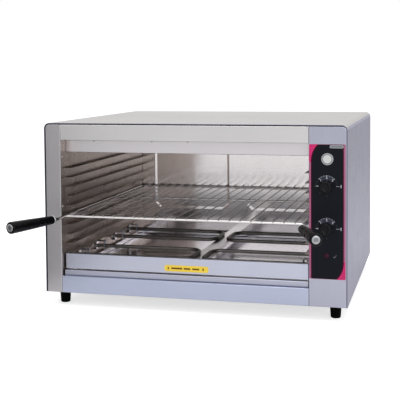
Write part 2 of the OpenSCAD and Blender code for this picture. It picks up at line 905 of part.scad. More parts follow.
// Straps that carry the lower elements beside the walls.
module element_hangers() {
    x = mid_x - wall_in;
    top = runner_z - 1;
    low = lower_z - tube_rad - 3.5;
    t = 1.5;
    color(STEEL) on_origin() for (side = [0, 1]) mirror_if(side) for (y = leg_ys)
        translate([0, y, 0]) difference() {
            union() {
                block([x, -hanger_w / 2, top - t], [x + hanger_reach, hanger_w / 2, top]);
                block([x + hanger_reach - t, -hanger_w / 2, low],
                    [x + hanger_reach, hanger_w / 2, top]);
            }
            translate([0, 0, lower_z])
                rod_x(x + hanger_reach - 2 * t, x + hanger_reach + t, tube_hole / 2);
        }
}

module roof_insulation() {
    color([0.85, 0.83, 0.74]) on_origin() difference() {
        block([mid_x - half_w, valance_y + wool_gap, roof_z + sheet],
            [mid_x + half_w, back_y - wool_gap, roof_z + sheet + wool_t]);
        for (i = [1:3])
            bead(i * back_y / 4, 4.3 + sheet);
    }
}

// ---------------------------------------------------------------- rack

module rack_border() {
    y0 = rack_front;
    y1 = rack_back_y;
    r = border_rad;
    color(CHROME) on_origin() translate([mid_x, 0, rack_z]) {
        for (y = [y0, y1])
            translate([0, y, 0]) rod_x(border_r - rack_half, rack_half - border_r, r);
        for (s = [-1, 1])
            translate([s * rack_half, 0, 0]) rod_y(y0 + border_r, y1 - border_r, r);
        for (s = [-1, 1]) for (e = [0, 1])
            translate([s * (rack_half - border_r), e ? y1 - border_r : y0 + border_r, 0])
                rotate([0, 0, e ? (s > 0 ? 0 : 90) : (s > 0 ? -90 : 180)])
                    rotate_extrude(angle = 90) translate([border_r, 0]) circle(r);
        translate([0, (y0 + y1) / 2 + stay_wire_shift, 0]) rod_x(-rack_half, rack_half, r);
    }
}

module rack_wires() {
    step = 2 * rack_half / rack_bays;
    y0 = rack_front - border_rad - cross_over;
    y1 = rack_back_y + border_rad + cross_over;
    color(CHROME) on_origin() for (i = [1:rack_bays - 1])
        translate([mid_x - rack_half + i * step, 0, cross_z]) rod_y(y0, y1, wire_rad);
}

// The right-hand rod: welded inside the border, notched over its front corner, then
// forwards and outwards into the grip.
module handle_rod() {
    end = ferrule_t + grip_bore_l - 2;
    r = border_rad + notch_gap;
    color(CHROME) difference() {
        translate([mid_x + rod_x + rod_bend, bend_y, rod_z]) {
            translate([-rod_bend, 0, 0]) rod_y(0, rack_front + rod_weld - bend_y, rod_rad);
            rotate([180, 0, splay - 180])
                rotate_extrude(angle = splay) translate([rod_bend, 0]) circle(rod_rad);
            rotate([0, 0, splay])
                translate([-rod_bend, 0, 0]) rod_y(-rod_neck - end, 0, rod_rad);
        }
        translate([mid_x + rack_half - border_r, rack_front + border_r, rack_z]) {
            rotate([0, 0, -90]) rotate_extrude(angle = 90) translate([border_r, 0]) circle(r);
            translate([0, -border_r, 0]) rod_x(-rod_d, 0, r);
        }
    }
}

module handle_rod_right() {
    on_origin() handle_rod();
}

module handle_rod_left() {
    on_origin() other_side() handle_rod();
}

// Puts a piece that is turned about Z, with its foot at z = 0, on the right-hand
// grip's axis, d behind the ferrule's inner face.
module on_grip(d) {
    translate([mid_x + rod_end_x, rod_end_y, rod_z]) rotate([90, 0, splay])
        translate([0, 0, d]) children();
}

module grip() {
    r1 = grip_d1 / 2;
    r2 = grip_d2 / 2;
    e = grip_edge;
    bore = rod_rad + 0.05;
    color(BLACK) on_grip(ferrule_t) difference() {
        rotate_extrude() {
            polygon([[0, 0], [r1 - 1, 0], [r1, 1], [r2 - 0.4, grip_l - 3 * e],
                [r2, grip_l - e], [r2 - e, grip_l - e], [r2 - e, grip_l], [0, grip_l]]);
            translate([r2 - e, grip_l - e]) intersection() {
                circle(e);
                square(e);
            }
        }
        translate([0, 0, -1]) cylinder(h = grip_bore_l + 1, r = bore);
        translate([0, 0, grip_l - 4]) cylinder(h = 5, r = 3.05);
    }
}

module grip_right() {
    on_origin() grip();
}

module grip_left() {
    on_origin() other_side() grip();
}

module grip_ferrules() {
    r = grip_d1 / 2 + 0.6;
    color(CHROME) on_origin() for (side = [0, 1]) mirror_if(1 - side) other_side()
        on_grip(0) difference() {
            rotate_extrude() polygon([[0, 0], [r - 1.5, 0], [r, 1], [r, ferrule_t], [0, ferrule_t]]);
            translate([0, 0, -1]) cylinder(h = ferrule_t + 2, r = rod_rad + 0.05);
        }
}

module grip_nuts() {
    color(CHROME) on_origin() for (side = [0, 1]) mirror_if(1 - side) other_side()
        on_grip(-lock_nut_t) difference() {
            cylinder(h = lock_nut_t, r = lock_nut_w / sqrt(3), $fn = 6);
            translate([0, 0, -1]) cylinder(h = lock_nut_t + 2, r = rod_rad + 0.05);
        }
}

module grip_caps() {
    r = cap_d / 2;
    color(CHROME) on_origin() for (side = [0, 1]) mirror_if(1 - side) other_side()
        on_grip(handle_l) {
            rotate_extrude() intersection() {
                square([r, cap_t]);
                translate([0, cap_t - cap_dome]) circle(cap_dome, $fn = 360);
            }
            translate([0, 0, -3.9]) cylinder(h = 4, r = 3);
        }
}

// ---------------------------------------------------------------- controls

module control_panel() {
    color([0.75, 0.15, 0.4]) on_origin() difference() {
        block([open_r + panel_margin, -panel_t, panel_z],
            [frame_r - panel_margin, 0, panel_z + panel_h]);
        control_holes(-panel_t - 1, 1, spindle_hole, holder_d + 0.4);
    }
}

// Outline of a lozenge of width w and length l, with its tips cut off.
function lozenge(w, l, cut = 0.16) = [for (s = [1, -1]) each [
    [s * w / 2, -s * cut * l / 2], [s * w / 2, s * cut * l / 2],
    [s * cut * w / 2, s * l / 2], [-s * cut * w / 2, s * l / 2]]];

// A knob whose middle is at height z: a skirt, a round body and a lozenge that
// shows where the knob is set.
module knob(z) {
    r = knob_d / 2;
    body_r = 0.9 * r;
    face = knob_h - bar_t;
    rim = 1.7;
    y = -panel_t - knob_clear;
    color(BLACK) on_origin() translate([controls_x, y, z]) rotate([90, 0, 0]) difference() {
        union() {
            rotate_extrude() polygon([[0, 0], [r, 0], [r, skirt_t - 1], [r - 0.6, skirt_t],
                [body_r, skirt_t + 0.8], [body_r - 0.5, face - 2.2],
                [body_r - 2, face], [0, face]]);
            translate([0, 0, face - 1]) linear_extrude(bar_t + 1)
                polygon(lozenge(bar_w, bar_l));
        }
        translate([0, 0, knob_h - 0.8]) linear_extrude(2)
            polygon(lozenge(bar_w - 2 * rim, bar_l - 2.6 * rim));
        translate([0, 0, -1]) spindle_shape(knob_h - 5);
        translate([0, 0, -1]) cylinder(h = 3, r = spindle_d / 2 + 3);
    }
}

// The D-shaped spindle, standing on z = 0 with length l.
module spindle_shape(l) {
    r = spindle_d / 2;
    difference() {
        cylinder(h = l, r = r);
        translate([r - 1, -r, -1]) cube([r, spindle_d, l + 2]);
    }
}

module knob_top() {
    knob(knob_zs[0]);
}

module knob_bottom() {
    knob(knob_zs[1]);
}

// The spindle is flatted inside the knob and round in the thermostat.
module spindle(z) {
    r = spindle_d / 2;
    color(CHROME) on_origin() translate([controls_x, 0, z]) {
        rod_y(-panel_t - knob_clear - 0.5, spindle_y1, r);
        translate([0, -panel_t - knob_clear, 0]) rotate([90, 0, 0])
            spindle_shape(-spindle_y0 - panel_t - knob_clear);
    }
}

module spindle_top() {
    spindle(knob_zs[0]);
}

module spindle_bottom() {
    spindle(knob_zs[1]);
}

module thermostats() {
    w = stat_w / 2;
    neck = 7;
    color([0.85, 0.83, 0.78]) on_origin() for (z = knob_zs) translate([controls_x, 0, z])
        difference() {
            union() {
                block([-w, stat_y, -w], [w, stat_y + stat_d, w]);
                block([-w + 6, sheet, -w - 8], [w - 6, stat_y, w + 8]);
                block([-w + 4, stat_y + stat_d, 4 - w], [w - 4, stat_y + stat_d + 6, w - 4]);
                for (x = [-12, 0, 12])
                    block([x - 3, stat_y + stat_d + 6, -0.5], [x + 3, stat_y + stat_d + 14, 0.5]);
            }
            rod_y(sheet - 1, stat_y + 1, neck);
            rod_y(sheet, spindle_y1 + 1, spindle_d / 2 + spindle_fit);
        }
}

module indicator_lamp() {
    color([0.6, 0.05, 0.1]) on_origin() translate([controls_x, 0, lamp_z]) {
        translate([0, -panel_t, 0]) rotate([90, 0, 0]) rotate_extrude() intersection() {
            square([lens_d / 2, 4]);
            translate([0, 3 - lens_d]) circle(lens_d);
        }
        rod_y(-panel_t, sheet + holder_l, holder_d / 2);
        rod_y(sheet, sheet + 3, holder_d / 2 + 2);
        for (x = [-2, 2])
            translate([x, 0, 0]) rod_y(sheet + holder_l, sheet + holder_l + 8, 0.7);
    }
}

module terminal_block() {
    w = 20;
    ways = 5;
    step = 13;
    y0 = cover_y - 70 - ways * step;
    color([0.9, 0.88, 0.8]) on_origin() translate([gland_x, y0, sheet]) difference() {
        union() {
            block([-w, 0, 0], [w, ways * step + 3, 12]);
            for (i = [0:ways])
                translate([-w, i * step, 0]) cube([2 * w, 3, 22]);
            block([-6, 0, 0], [6, ways * step + 3, 20]);
        }
        for (i = [0:ways - 1]) for (x = [-13, 13])
            translate([x, i * step + 8, 6]) cylinder(h = 20, r = 3);
    }
}

// Sleeved wires from the terminal block to the controls.
module wiring_loom() {
    r = 4.5;
    x = gland_x;
    y_block = cover_y - 70 - 2.5 * 13 + 1.5;
    y_run = stat_y + stat_d + 14 + r;
    z_low = 40;
    z_top = knob_zs[0];
    color([0.7, 0.25, 0.2]) on_origin() {
        translate([x, y_block, sheet + 20]) cylinder(h = z_low - sheet - 20, r = r);
        translate([x, y_block, z_low]) sphere(r);
        translate([x, 0, z_low]) rod_y(y_run, y_block, r);
        translate([x, y_run, z_low]) sphere(r);
        translate([x, y_run, z_low]) cylinder(h = z_top - z_low, r = r);
        translate([x, y_run, z_top]) sphere(r);
    }
}

module cable_gland() {
    r = gland_d / 2;
    color(BLACK) on_origin() translate([gland_x, 0, gland_z]) difference() {
        union() {
            rod_y(cover_y - 6, body_d + 4, r - 3.2);
            translate([0, body_d + 5, 0]) rotate([90, 0, 0])
                cylinder(h = 5, r = r, $fn = 6);
            translate([0, body_d + 5, 0]) rotate([-90, 0, 0]) rotate_extrude()
                polygon([[0, 0], [r - 1.5, 0], [r - 1.5, gland_l - 9], [r - 4.5, gland_l - 5],
                    [0, gland_l - 5]]);
            translate([0, cover_y, 0]) rotate([90, 0, 0])
                cylinder(h = gland_nut_t, r = r + 2, $fn = 6);
        }
        rod_y(cover_y - 10, body_d + gland_l + 1, gland_bore / 2);
    }
}

// ---------------------------------------------------------------- the part

outer_wrapper();
rear_cover();
base_pan();
left_stile();
control_fascia();
top_rail();
bottom_rail();
valance();
apron();
cavity_left_wall();
cavity_right_wall();
cavity_back();
cavity_ceiling();
runner_left(1);  // runner_left_1
runner_left(2);  // runner_left_2
runner_left(3);  // runner_left_3
runner_left(4);  // runner_left_4
runner_left(5);  // runner_left_5
runner_right(1);  // runner_right_1
runner_right(2);  // runner_right_2
runner_right(3);  // runner_right_3
runner_right(4);  // runner_right_4
runner_right(5);  // runner_right_5
tray_runner_left();
tray_runner_right();
lower_stay();
upper_stay();
element_left(front_pair_y, lower_z);  // lower_element_front_left
element_right(front_pair_y, lower_z);  // lower_element_front_right
element_left(rear_pair_y, lower_z);  // lower_element_rear_left
element_right(rear_pair_y, lower_z);  // lower_element_rear_right
element_left(front_pair_y, upper_z);  // upper_element_front_left
element_right(front_pair_y, upper_z);  // upper_element_front_right
element_left(rear_pair_y, upper_z);  // upper_element_rear_left
element_right(rear_pair_y, upper_z);  // upper_element_rear_right
element_nuts();
element_hangers();
roof_insulation();
drip_tray();
rack_border();
rack_wires();
handle_rod_left();
handle_rod_right();
grip_left();
grip_right();
grip_ferrules();
grip_nuts();
grip_caps();
control_panel();
knob_top();
knob_bottom();
spindle_top();
spindle_bottom();
thermostats();
indicator_lamp();
terminal_block();
wiring_loom();
cable_gland();
rear_screws();
feet();
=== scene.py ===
# %% [markdown]
# # A countertop cheese melter
#
# This machine grills cheese from above and below. It is an open-fronted stainless steel
# cabinet with a wire rack on side runners, hairpin heating elements over and under the
# rack, a drip tray at the bottom and a control column on the right.
#
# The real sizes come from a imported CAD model, which is loaded first and never changed.
# Every sheet, wire and knob is then modelled at the place that the frame gives, so the
# looks always fit the construction.

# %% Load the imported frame
import json
import math

import bpy
from mathutils import Matrix, Vector


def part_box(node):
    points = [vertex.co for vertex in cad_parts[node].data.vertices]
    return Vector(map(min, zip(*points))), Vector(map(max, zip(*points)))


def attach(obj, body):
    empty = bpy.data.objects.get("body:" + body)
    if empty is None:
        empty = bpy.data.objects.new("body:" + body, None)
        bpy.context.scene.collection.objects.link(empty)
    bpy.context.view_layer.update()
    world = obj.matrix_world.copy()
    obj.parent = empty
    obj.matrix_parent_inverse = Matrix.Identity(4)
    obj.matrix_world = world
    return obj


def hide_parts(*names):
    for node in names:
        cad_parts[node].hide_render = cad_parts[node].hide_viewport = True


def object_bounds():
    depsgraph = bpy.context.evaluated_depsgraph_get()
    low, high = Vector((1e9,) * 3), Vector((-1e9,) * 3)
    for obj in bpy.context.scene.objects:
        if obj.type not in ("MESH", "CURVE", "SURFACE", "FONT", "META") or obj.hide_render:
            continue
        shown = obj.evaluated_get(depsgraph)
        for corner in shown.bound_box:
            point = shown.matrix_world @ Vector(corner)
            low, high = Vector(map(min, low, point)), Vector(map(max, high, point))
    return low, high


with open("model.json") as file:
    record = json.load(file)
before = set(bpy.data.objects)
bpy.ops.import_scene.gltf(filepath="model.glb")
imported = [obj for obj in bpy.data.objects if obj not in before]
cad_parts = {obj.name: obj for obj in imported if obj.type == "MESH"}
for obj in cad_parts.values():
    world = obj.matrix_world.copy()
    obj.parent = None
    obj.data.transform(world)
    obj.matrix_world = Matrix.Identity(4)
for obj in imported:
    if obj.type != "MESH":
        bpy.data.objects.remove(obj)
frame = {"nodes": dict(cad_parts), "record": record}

cad_low, cad_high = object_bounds()
MM = 0.001
X, Y, Z = Vector((1, 0, 0)), Vector((0, 1, 0)), Vector((0, 0, 1))
print("frame:", len(frame["nodes"]), "nodes,", [round(v, 3) for v in cad_high - cad_low], "m")

# %% [markdown]
# ## The camera
#
# A product camera stands a little to the right of the machine and looks down at it. It is
# given by where it stands, in millimetres from the part's origin, and by how far it turns,
# tilts and rolls. A small vertical shift keeps the upright edges nearly parallel, as a
# photographer does with a shift lens.

# %% Make the camera
CAMERA_AT = Vector((514.1, -2065.8, 506.4)) * MM
CAMERA_TURN, CAMERA_TILT, CAMERA_ROLL = 14.704, 3.022, -0.428
CAMERA_LENS = 83.754
CAMERA_SHIFT = -0.2
CAMERA_SEES = 50

camera = bpy.data.objects.new("camera", bpy.data.cameras.new("camera"))
bpy.context.scene.collection.objects.link(camera)
bpy.context.scene.camera = camera
camera.data.lens = CAMERA_LENS
camera.data.shift_y = CAMERA_SHIFT
camera.data.clip_end = CAMERA_SEES
camera.matrix_world = (
    Matrix.Translation(CAMERA_AT)
    @ Matrix.Rotation(math.radians(CAMERA_TURN), 4, "Z")
    @ Matrix.Rotation(math.radians(90 - CAMERA_TILT), 4, "X")
    @ Matrix.Rotation(math.radians(CAMERA_ROLL), 4, "Z")
)
print("camera at", [round(v, 3) for v in CAMERA_AT])

# %% [markdown]
# ## Places
#
# The frame says where each construction node is. A few of those places are used again and
# again, such as the edges of the opening, so they get names here.

# %% Name the places that many pieces share
SHEET = 1.2 * MM
FRAME_GAP = 1.8 * MM

wrap_low, wrap_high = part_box("outer_wrapper")
front_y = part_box("control_fascia")[0].y
open_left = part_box("left_stile")[1].x
open_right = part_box("control_fascia")[0].x
middle_x = (open_left + open_right) / 2
frame_left = wrap_low.x + SHEET + FRAME_GAP
frame_right = wrap_high.x - SHEET - FRAME_GAP
frame_top = wrap_high.z - SHEET - FRAME_GAP
wall_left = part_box("cavity_left_wall")[1].x
wall_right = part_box("cavity_right_wall")[0].x
rail_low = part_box("top_rail")[0].z
print("opening", round((open_right - open_left) / MM, 1), "mm wide")

# %% [markdown]
# ## Modelling helpers
#
# Each helper is one habit of modelling by hand. A primitive is added at its size and place.
# Some of its faces or edges are picked by where they are, and an edit-mode tool then works
# on what is picked. Nothing else may be selected before that, so everything is deselected
# first.

# %% Add primitives and pick parts of them
SAME_LENGTH, SAME_WAY, LOOKS_ALONG = 0.05 * MM, 0.999, 0.9


def select_only(*pieces):
    """Selects these pieces and nothing else, and makes the first one active."""
    bpy.ops.object.select_all(action="DESELECT")
    for piece in pieces:
        piece.select_set(True)
    if pieces:
        bpy.context.view_layer.objects.active = pieces[0]


def named(name):
    """Names the primitive that was just added and puts its place into its mesh."""
    piece = bpy.context.object
    piece.name = piece.data.name = name
    bpy.ops.object.transform_apply(location=True, rotation=True, scale=True)
    return piece


def block(name, low, high):
    """A box between two corners."""
    select_only()
    low, high = Vector(low), Vector(high)
    bpy.ops.mesh.primitive_cube_add(size=1, location=(low + high) / 2, scale=high - low)
    return named(name)


def circle(name, sides, radius, place, turn=(0, 0, 0), fill="NGON"):
    """A filled circle, or with the fill "NOTHING" a plain ring of edges."""
    select_only()
    bpy.ops.mesh.primitive_circle_add(
        vertices=sides, radius=radius, fill_type=fill, location=place, rotation=turn
    )
    return named(name)


def flat_sheet(name, low, high):
    """A flat sheet between two corners that share one coordinate."""
    select_only()
    low, high = Vector(low), Vector(high)
    size = high - low
    across = min(range(3), key=lambda i: abs(size[i]))
    turn = [(0, math.pi / 2, 0), (math.pi / 2, 0, 0), (0, 0, 0)][across]
    wide = [size.z, size.x, size.x][across]
    deep = [size.y, size.z, size.y][across]
    bpy.ops.mesh.primitive_plane_add(size=1, location=(low + high) / 2, rotation=turn)
    bpy.context.object.scale = (wide, deep, 1)
    return named(name)


def pick(piece, faces=None, edges=None, points=None):
    """Goes into edit mode with only the faces, edges or points that pass the test."""
    select_only(piece)
    bpy.ops.object.mode_set(mode="EDIT")
    kind = "FACE" if faces else "EDGE" if edges else "VERT"
    bpy.ops.mesh.select_mode(type=kind)
    bpy.ops.mesh.select_all(action="DESELECT")
    bpy.ops.object.mode_set(mode="OBJECT")
    mesh = piece.data
    if faces:
        for face in mesh.polygons:
            face.select = bool(faces(face.center, face.normal))
    if edges:
        for edge in mesh.edges:
            a, b = (mesh.vertices[i].co for i in edge.vertices)
            edge.select = bool(edges((a + b) / 2, (b - a).normalized()))
    if points:
        for point in mesh.vertices:
            point.select = bool(points(point.co))
    bpy.ops.object.mode_set(mode="EDIT")


def leave():
    """Leaves edit mode."""
    bpy.ops.object.mode_set(mode="OBJECT")


def pull(step):
    """Extrudes what is picked by a step, given in metres."""
    bpy.ops.mesh.extrude_region_move(TRANSFORM_OT_translate={"value": tuple(step)})


def fold(piece, edges, *steps):
    """Pulls the edges that pass the test out into new strips of sheet, one for each step."""
    pick(piece, edges=edges)
    for step in steps:
        pull(step)
    leave()


def bend(piece, edges, radius, segments):
    """Rounds the edges that pass the test, as a folding press does."""
    pick(piece, edges=edges)
    bpy.ops.mesh.bevel(offset=radius, segments=segments, affect="EDGES")
    leave()


def near(a, b):
    """True if two lengths are the same to within a twentieth of a millimetre."""
    return abs(a - b) < SAME_LENGTH


def along(direction, axis):
    """True if a direction runs along an axis, either way."""
    return abs(direction.dot(axis)) > SAME_WAY


def all_faces(centre, normal):
    """True for every face."""
    return True


def in_front(centre, normal):
    """True for a face that looks to the front."""
    return normal.y < -LOOKS_ALONG


def behind(centre, normal):
    """True for a face that looks to the rear."""
    return normal.y > LOOKS_ALONG


print("helpers: block, circle, flat_sheet, pick, pull, fold, bend")

# %% [markdown]
# Sheet metal has thickness and soft edges. Solidify gives a sheet its thickness inwards, and
# a narrow bevel on every sharp edge catches the light as a real folded edge does. Smooth
# shading alone would bend the mirror image in a large face towards those bevels, so Weighted
# Normal lets the large faces decide. A modifier is applied at once, so that the mesh itself
# holds the shape.

# %% Thicken, soften and join
CREASE_ANGLE, DOUBLED = math.radians(35), 0.01 * MM


def apply_modifier(piece, kind, **settings):
    """Adds a modifier with these settings and applies it."""
    select_only(piece)
    modifier = piece.modifiers.new(kind.title(), kind)
    for key, value in settings.items():
        setattr(modifier, key, value)
    bpy.ops.object.modifier_apply(modifier=modifier.name)


def thicken(piece, thickness=SHEET):
    """Gives a sheet its thickness, behind the side that its faces point to."""
    apply_modifier(piece, "SOLIDIFY", thickness=thickness, offset=-1)


def soften(piece, radius=0.3 * MM, steps=2, angle=40):
    """Rounds every edge that is sharper than the angle."""
    apply_modifier(
        piece, "BEVEL", width=radius, segments=steps, limit_method="ANGLE",
        angle_limit=math.radians(angle), use_clamp_overlap=True,
    )


def smooth(piece):
    """Shades curved faces smooth, keeps corners crisp and lets large faces mirror flat."""
    select_only(piece)
    bpy.ops.object.shade_smooth_by_angle(angle=CREASE_ANGLE)
    apply_modifier(piece, "WEIGHTED_NORMAL", keep_sharp=True, weight=100)


def face_out(piece):
    """Merges doubled points and turns all faces outwards."""
    pick(piece, points=lambda p: True)
    bpy.ops.mesh.remove_doubles(threshold=DOUBLED)
    bpy.ops.mesh.normals_make_consistent(inside=False)
    leave()


def joined(name, pieces):
    """Joins pieces into one with a new name."""
    select_only(*pieces)
    bpy.ops.object.join()
    pieces[0].name = pieces[0].data.name = name
    return pieces[0]


def copied(piece, name, step=(0, 0, 0), flip_about=None):
    """A copy with its own mesh, moved by a step or mirrored about a plane x = flip_about."""
    twin = piece.copy()
    twin.data = piece.data.copy()
    twin.name = twin.data.name = name
    bpy.context.scene.collection.objects.link(twin)
    if flip_about is None:
        twin.data.transform(Matrix.Translation(Vector(step)))
    else:
        mirror = Matrix.Translation((2 * flip_about, 0, 0)) @ Matrix.Scale(-1, 4, X)
        twin.data.transform(mirror)
        twin.data.flip_normals()
    return twin


print("helpers: thicken, soften, smooth, face_out, joined, copied")

# %% [markdown]
# Turned pieces, such as knobs, grips and feet, are made ring by ring: a filled circle is
# extruded along its axis and resized, once for each ring of the profile. Bent tubes are
# made in the same way, with a spin for each bend.

# %% Turn and bend
SPIN_STEP, SPIN_LEAST, TUBE_SIDES = 7.5, 4, 20


def aimed(piece, at, towards):
    """Moves a piece that was made upright at the origin: its foot to at, its axis to towards."""
    turn = Z.rotation_difference(Vector(towards).normalized()).to_matrix().to_4x4()
    piece.data.transform(Matrix.Translation(Vector(at)) @ turn)
    return piece


def turned(name, rings, at, towards, sides=48):
    """A turned piece. rings holds (height, radius) pairs, from the first face to the last."""
    height, radius = rings[0]
    piece = circle(name, sides, radius, (0, 0, height))
    pick(piece, faces=all_faces)
    for next_height, next_radius in rings[1:]:
        pull((0, 0, next_height - height))
        grow = next_radius / radius
        bpy.ops.transform.resize(value=(grow, grow, 1), center_override=(0, 0, next_height))
        height, radius = next_height, next_radius
    leave()
    face_out(piece)
    return aimed(piece, at, towards)


def arc_rings(height, radius, rise, inset, steps=5):
    """Rings of a quarter-round edge: up by rise while the radius shrinks by inset."""
    angles = [math.pi / 2 * i / steps for i in range(steps + 1)]
    return [(height + rise * math.sin(a), radius - inset * (1 - math.cos(a))) for a in angles]


def stepped(radius, *pairs, start=0.0):
    """Rings above a start, from pairs in mm: how high, and how far inside the radius."""
    return [(start + height * MM, radius - inset * MM) for height, inset in pairs]


def bent_tube(name, start, heading, radius, moves, closed=False):
    """A tube that runs through moves: ("go", length) or ("turn", degrees, bend radius, side)."""
    here, heading = Vector(start), Vector(heading).normalized()
    lean = Z.rotation_difference(heading).to_euler()
    piece = circle(name, TUBE_SIDES, radius, here, lean, fill="NOTHING")
    pick(piece, edges=lambda m, d: True)
    for move in moves:
        if move[0] == "go":
            pull(heading * move[1])
            here = here + heading * move[1]
            continue
        _, degrees, turn_radius, side = move
        side = Vector(side).normalized()
        centre = here + side * turn_radius
        axis = heading.cross(side)
        angle = math.radians(degrees)
        # Spin turns clockwise round its axis, so the angle is negative.
        steps = max(SPIN_LEAST, round(degrees / SPIN_STEP))
        bpy.ops.mesh.spin(steps=steps, angle=-angle, center=centre, axis=axis)
        here = centre + turn_radius * (heading * math.sin(angle) - side * math.cos(angle))
        heading = heading * math.cos(angle) + side * math.sin(angle)
    if not closed:
        bpy.ops.mesh.select_all(action="SELECT")
        bpy.ops.mesh.fill_holes(sides=0)
    leave()
    face_out(piece)
    return piece


print("helpers: aimed, turned, arc_rings, stepped, bent_tube")

# %% [markdown]
# ## Finishes
#
# Each finish is a small node tree on Object coordinates, so a pattern stays on its piece.
# A node is added with its inputs in one line: a name such as Base_Color stands for a socket's
# name, and _6 for its number. What is the same all over a piece is a plain value, and what
# varies is a link from a pattern.

# %% Start a material and wire its parts
def plug(tree, node, inputs):
    """Gives a node's sockets their values, or links them to another node's output."""
    for key, value in inputs.items():
        name = key.replace("_", " ")
        socket = node.inputs[int(key[1:]) if key[1:].isdigit() else name]
        if isinstance(value, bpy.types.NodeSocket):
            tree.links.new(value, socket)
        else:
            socket.default_value = value


def wiring(tree):
    """A function that adds a node to this tree and gives back its main output."""
    def add(kind, settings=None, out=0, **inputs):
        node = tree.nodes.new("ShaderNode" + kind)
        for key, value in (settings or {}).items():
            setattr(node, key, value)
        plug(tree, node, inputs)
        return node.outputs[out]

    return add


def new_finish(name, colour, metallic=0.0, roughness=0.5):
    """A material, a function that adds nodes to it, and one that feeds its Principled shader."""
    finish = bpy.data.materials.new(name)
    finish.use_nodes = True
    finish.diffuse_color = (*colour, 1)
    tree = finish.node_tree

    def feed(**inputs):
        plug(tree, tree.nodes["Principled BSDF"], inputs)

    feed(Base_Color=(*colour, 1), Metallic=metallic, Roughness=roughness)
    return finish, wiring(tree), feed


def grey_to(colour, amount):
    """A colour made lighter or darker by a share of itself."""
    return tuple(min(1, c * (1 + amount)) for c in colour)


def linear(shade):
    """A shade written as 0 to 255 screen values, as linear light."""
    parts = [value / 255 for value in shade]
    return tuple(((v + 0.055) / 1.055) ** 2.4 if v > 0.04 else v / 12.92 for v in parts)


print("mid grey in linear light:", [round(c, 3) for c in linear((128, 128, 128))])

# %% Patterns that many finishes use
def noise(add, scale, detail, roughness=0.5, place=None):
    """Cloudy noise on a piece's own coordinates, or on a changed place."""
    place = place or add("TexCoord", out="Object")
    return add("TexNoise", Vector=place, Scale=scale, Detail=detail, Roughness=roughness)


def two_tone(add, share, dark, light):
    """A colour between two, by a share that a pattern gives."""
    return add("Mix", {"data_type": "RGBA"}, out=2, _0=share, _6=(*dark, 1), _7=(*light, 1))


def scaled(add, value, factor, offset):
    """A pattern times a factor, plus an offset."""
    return add("Math", {"operation": "MULTIPLY_ADD"}, _0=value, _1=factor, _2=offset)


def relief(add, height, strength, distance, **under):
    """A bump from a pattern's height, over another bump if one is given as Normal."""
    return add("Bump", Strength=strength, Distance=distance, Height=height, **under)


print("patterns: noise, two_tone, scaled, relief")

# %% [markdown]
# Brushed steel is a metal whose grain is noise stretched along the rolling direction: the
# grain changes its roughness and its height a little, and its colour hardly at all. A broad
# noise stands for the patches that handling and cleaning leave. Brush lines also smear a
# reflection sideways, and anisotropy does that: how far, and which way round.

# %% Brushed steel
GRAIN_FINE, GRAIN_LONG, GRAIN_HEIGHT = 1100, 14, 0.06 * MM
GRAIN_SHADE, GRAIN_GLOSS, SMEAR_GLOSS = 0.1, 0.4, 0.45
WAVE_HEIGHT = 3.5 * MM


def brushed_steel(
    name, shade, grain, rough=0.34, patchy=0.05, wavy=0.05, tint=None, drawn=0.35, drawn_turn=0.0
):
    """Stainless sheet. grain is the axis of its brush lines, and drawn how far they smear light."""
    colour = linear(shade)
    finish, add, feed = new_finish(name, colour, metallic=1.0, roughness=rough)
    stretch = [GRAIN_LONG if axis == grain else GRAIN_FINE for axis in "XYZ"]
    stretched = add("Mapping", Vector=add("TexCoord", out="Object"), Scale=stretch)
    lines = noise(add, 1.0, 3.0, 0.65, place=stretched)
    broad = noise(add, 4.5, 3.0, 0.55)
    smears = noise(add, 23.0, 4.0, 0.7)

    dark = linear(tint) if tint else grey_to(colour, -patchy)
    patches = two_tone(add, broad, dark, grey_to(colour, patchy))
    multiply = {"data_type": "RGBA", "blend_type": "MULTIPLY"}
    lined = add("Mix", multiply, out=2, _0=GRAIN_SHADE, _6=patches, _7=lines)
    worn = scaled(add, smears, SMEAR_GLOSS * rough, (1 - SMEAR_GLOSS) * rough)
    waves = relief(add, noise(add, 7.0, 1.0), wavy, WAVE_HEIGHT)
    feed(
        Base_Color=lined, Roughness=scaled(add, lines, GRAIN_GLOSS * rough, worn),
        Normal=relief(add, lines, 0.12, GRAIN_HEIGHT, Normal=waves),
        Anisotropic=drawn, Anisotropic_Rotation=drawn_turn,
    )
    return finish


# Painted light and shade: the wrapper's top and sides are one sheet, but the top is painted lighter and the
# sides darker and bluer.
SIDE_SHADED_STEEL = brushed_steel("side_shaded_steel", (137, 136, 159), "Y", wavy=0.02)
TOP_LIT_STEEL = brushed_steel("top_lit_steel", (180, 176, 175), "Y", wavy=0.03)
# Painted reflection: the rails, valance, apron, stile and fascia are all one steel. Each is painted its own
# tone, lighter up high and bluer low down.
TOP_RAIL_REFLECTION_STEEL = brushed_steel("top_rail_reflection_steel", (214, 212, 213), "X")
VALANCE_REFLECTION_STEEL = brushed_steel("valance_reflection_steel", (217, 213, 216), "X")
APRON_REFLECTION_STEEL = brushed_steel("apron_reflection_steel", (194, 197, 213), "X")
FOOT_RAIL_REFLECTION_STEEL = brushed_steel("foot_rail_reflection_steel", (184, 190, 212), "X")
STILE_REFLECTION_STEEL = brushed_steel("stile_reflection_steel", (190, 187, 190), "Z")
FASCIA_REFLECTION_STEEL = brushed_steel("fascia_reflection_steel", (178, 179, 195), "Z")
print("casing finishes: 8")

# %% [markdown]
# The cavity is lined with bright annealed sheet. It is brushed much less than the casing, so
# its back mirrors the open front, and years of heat leave a straw-brown tint in patches.

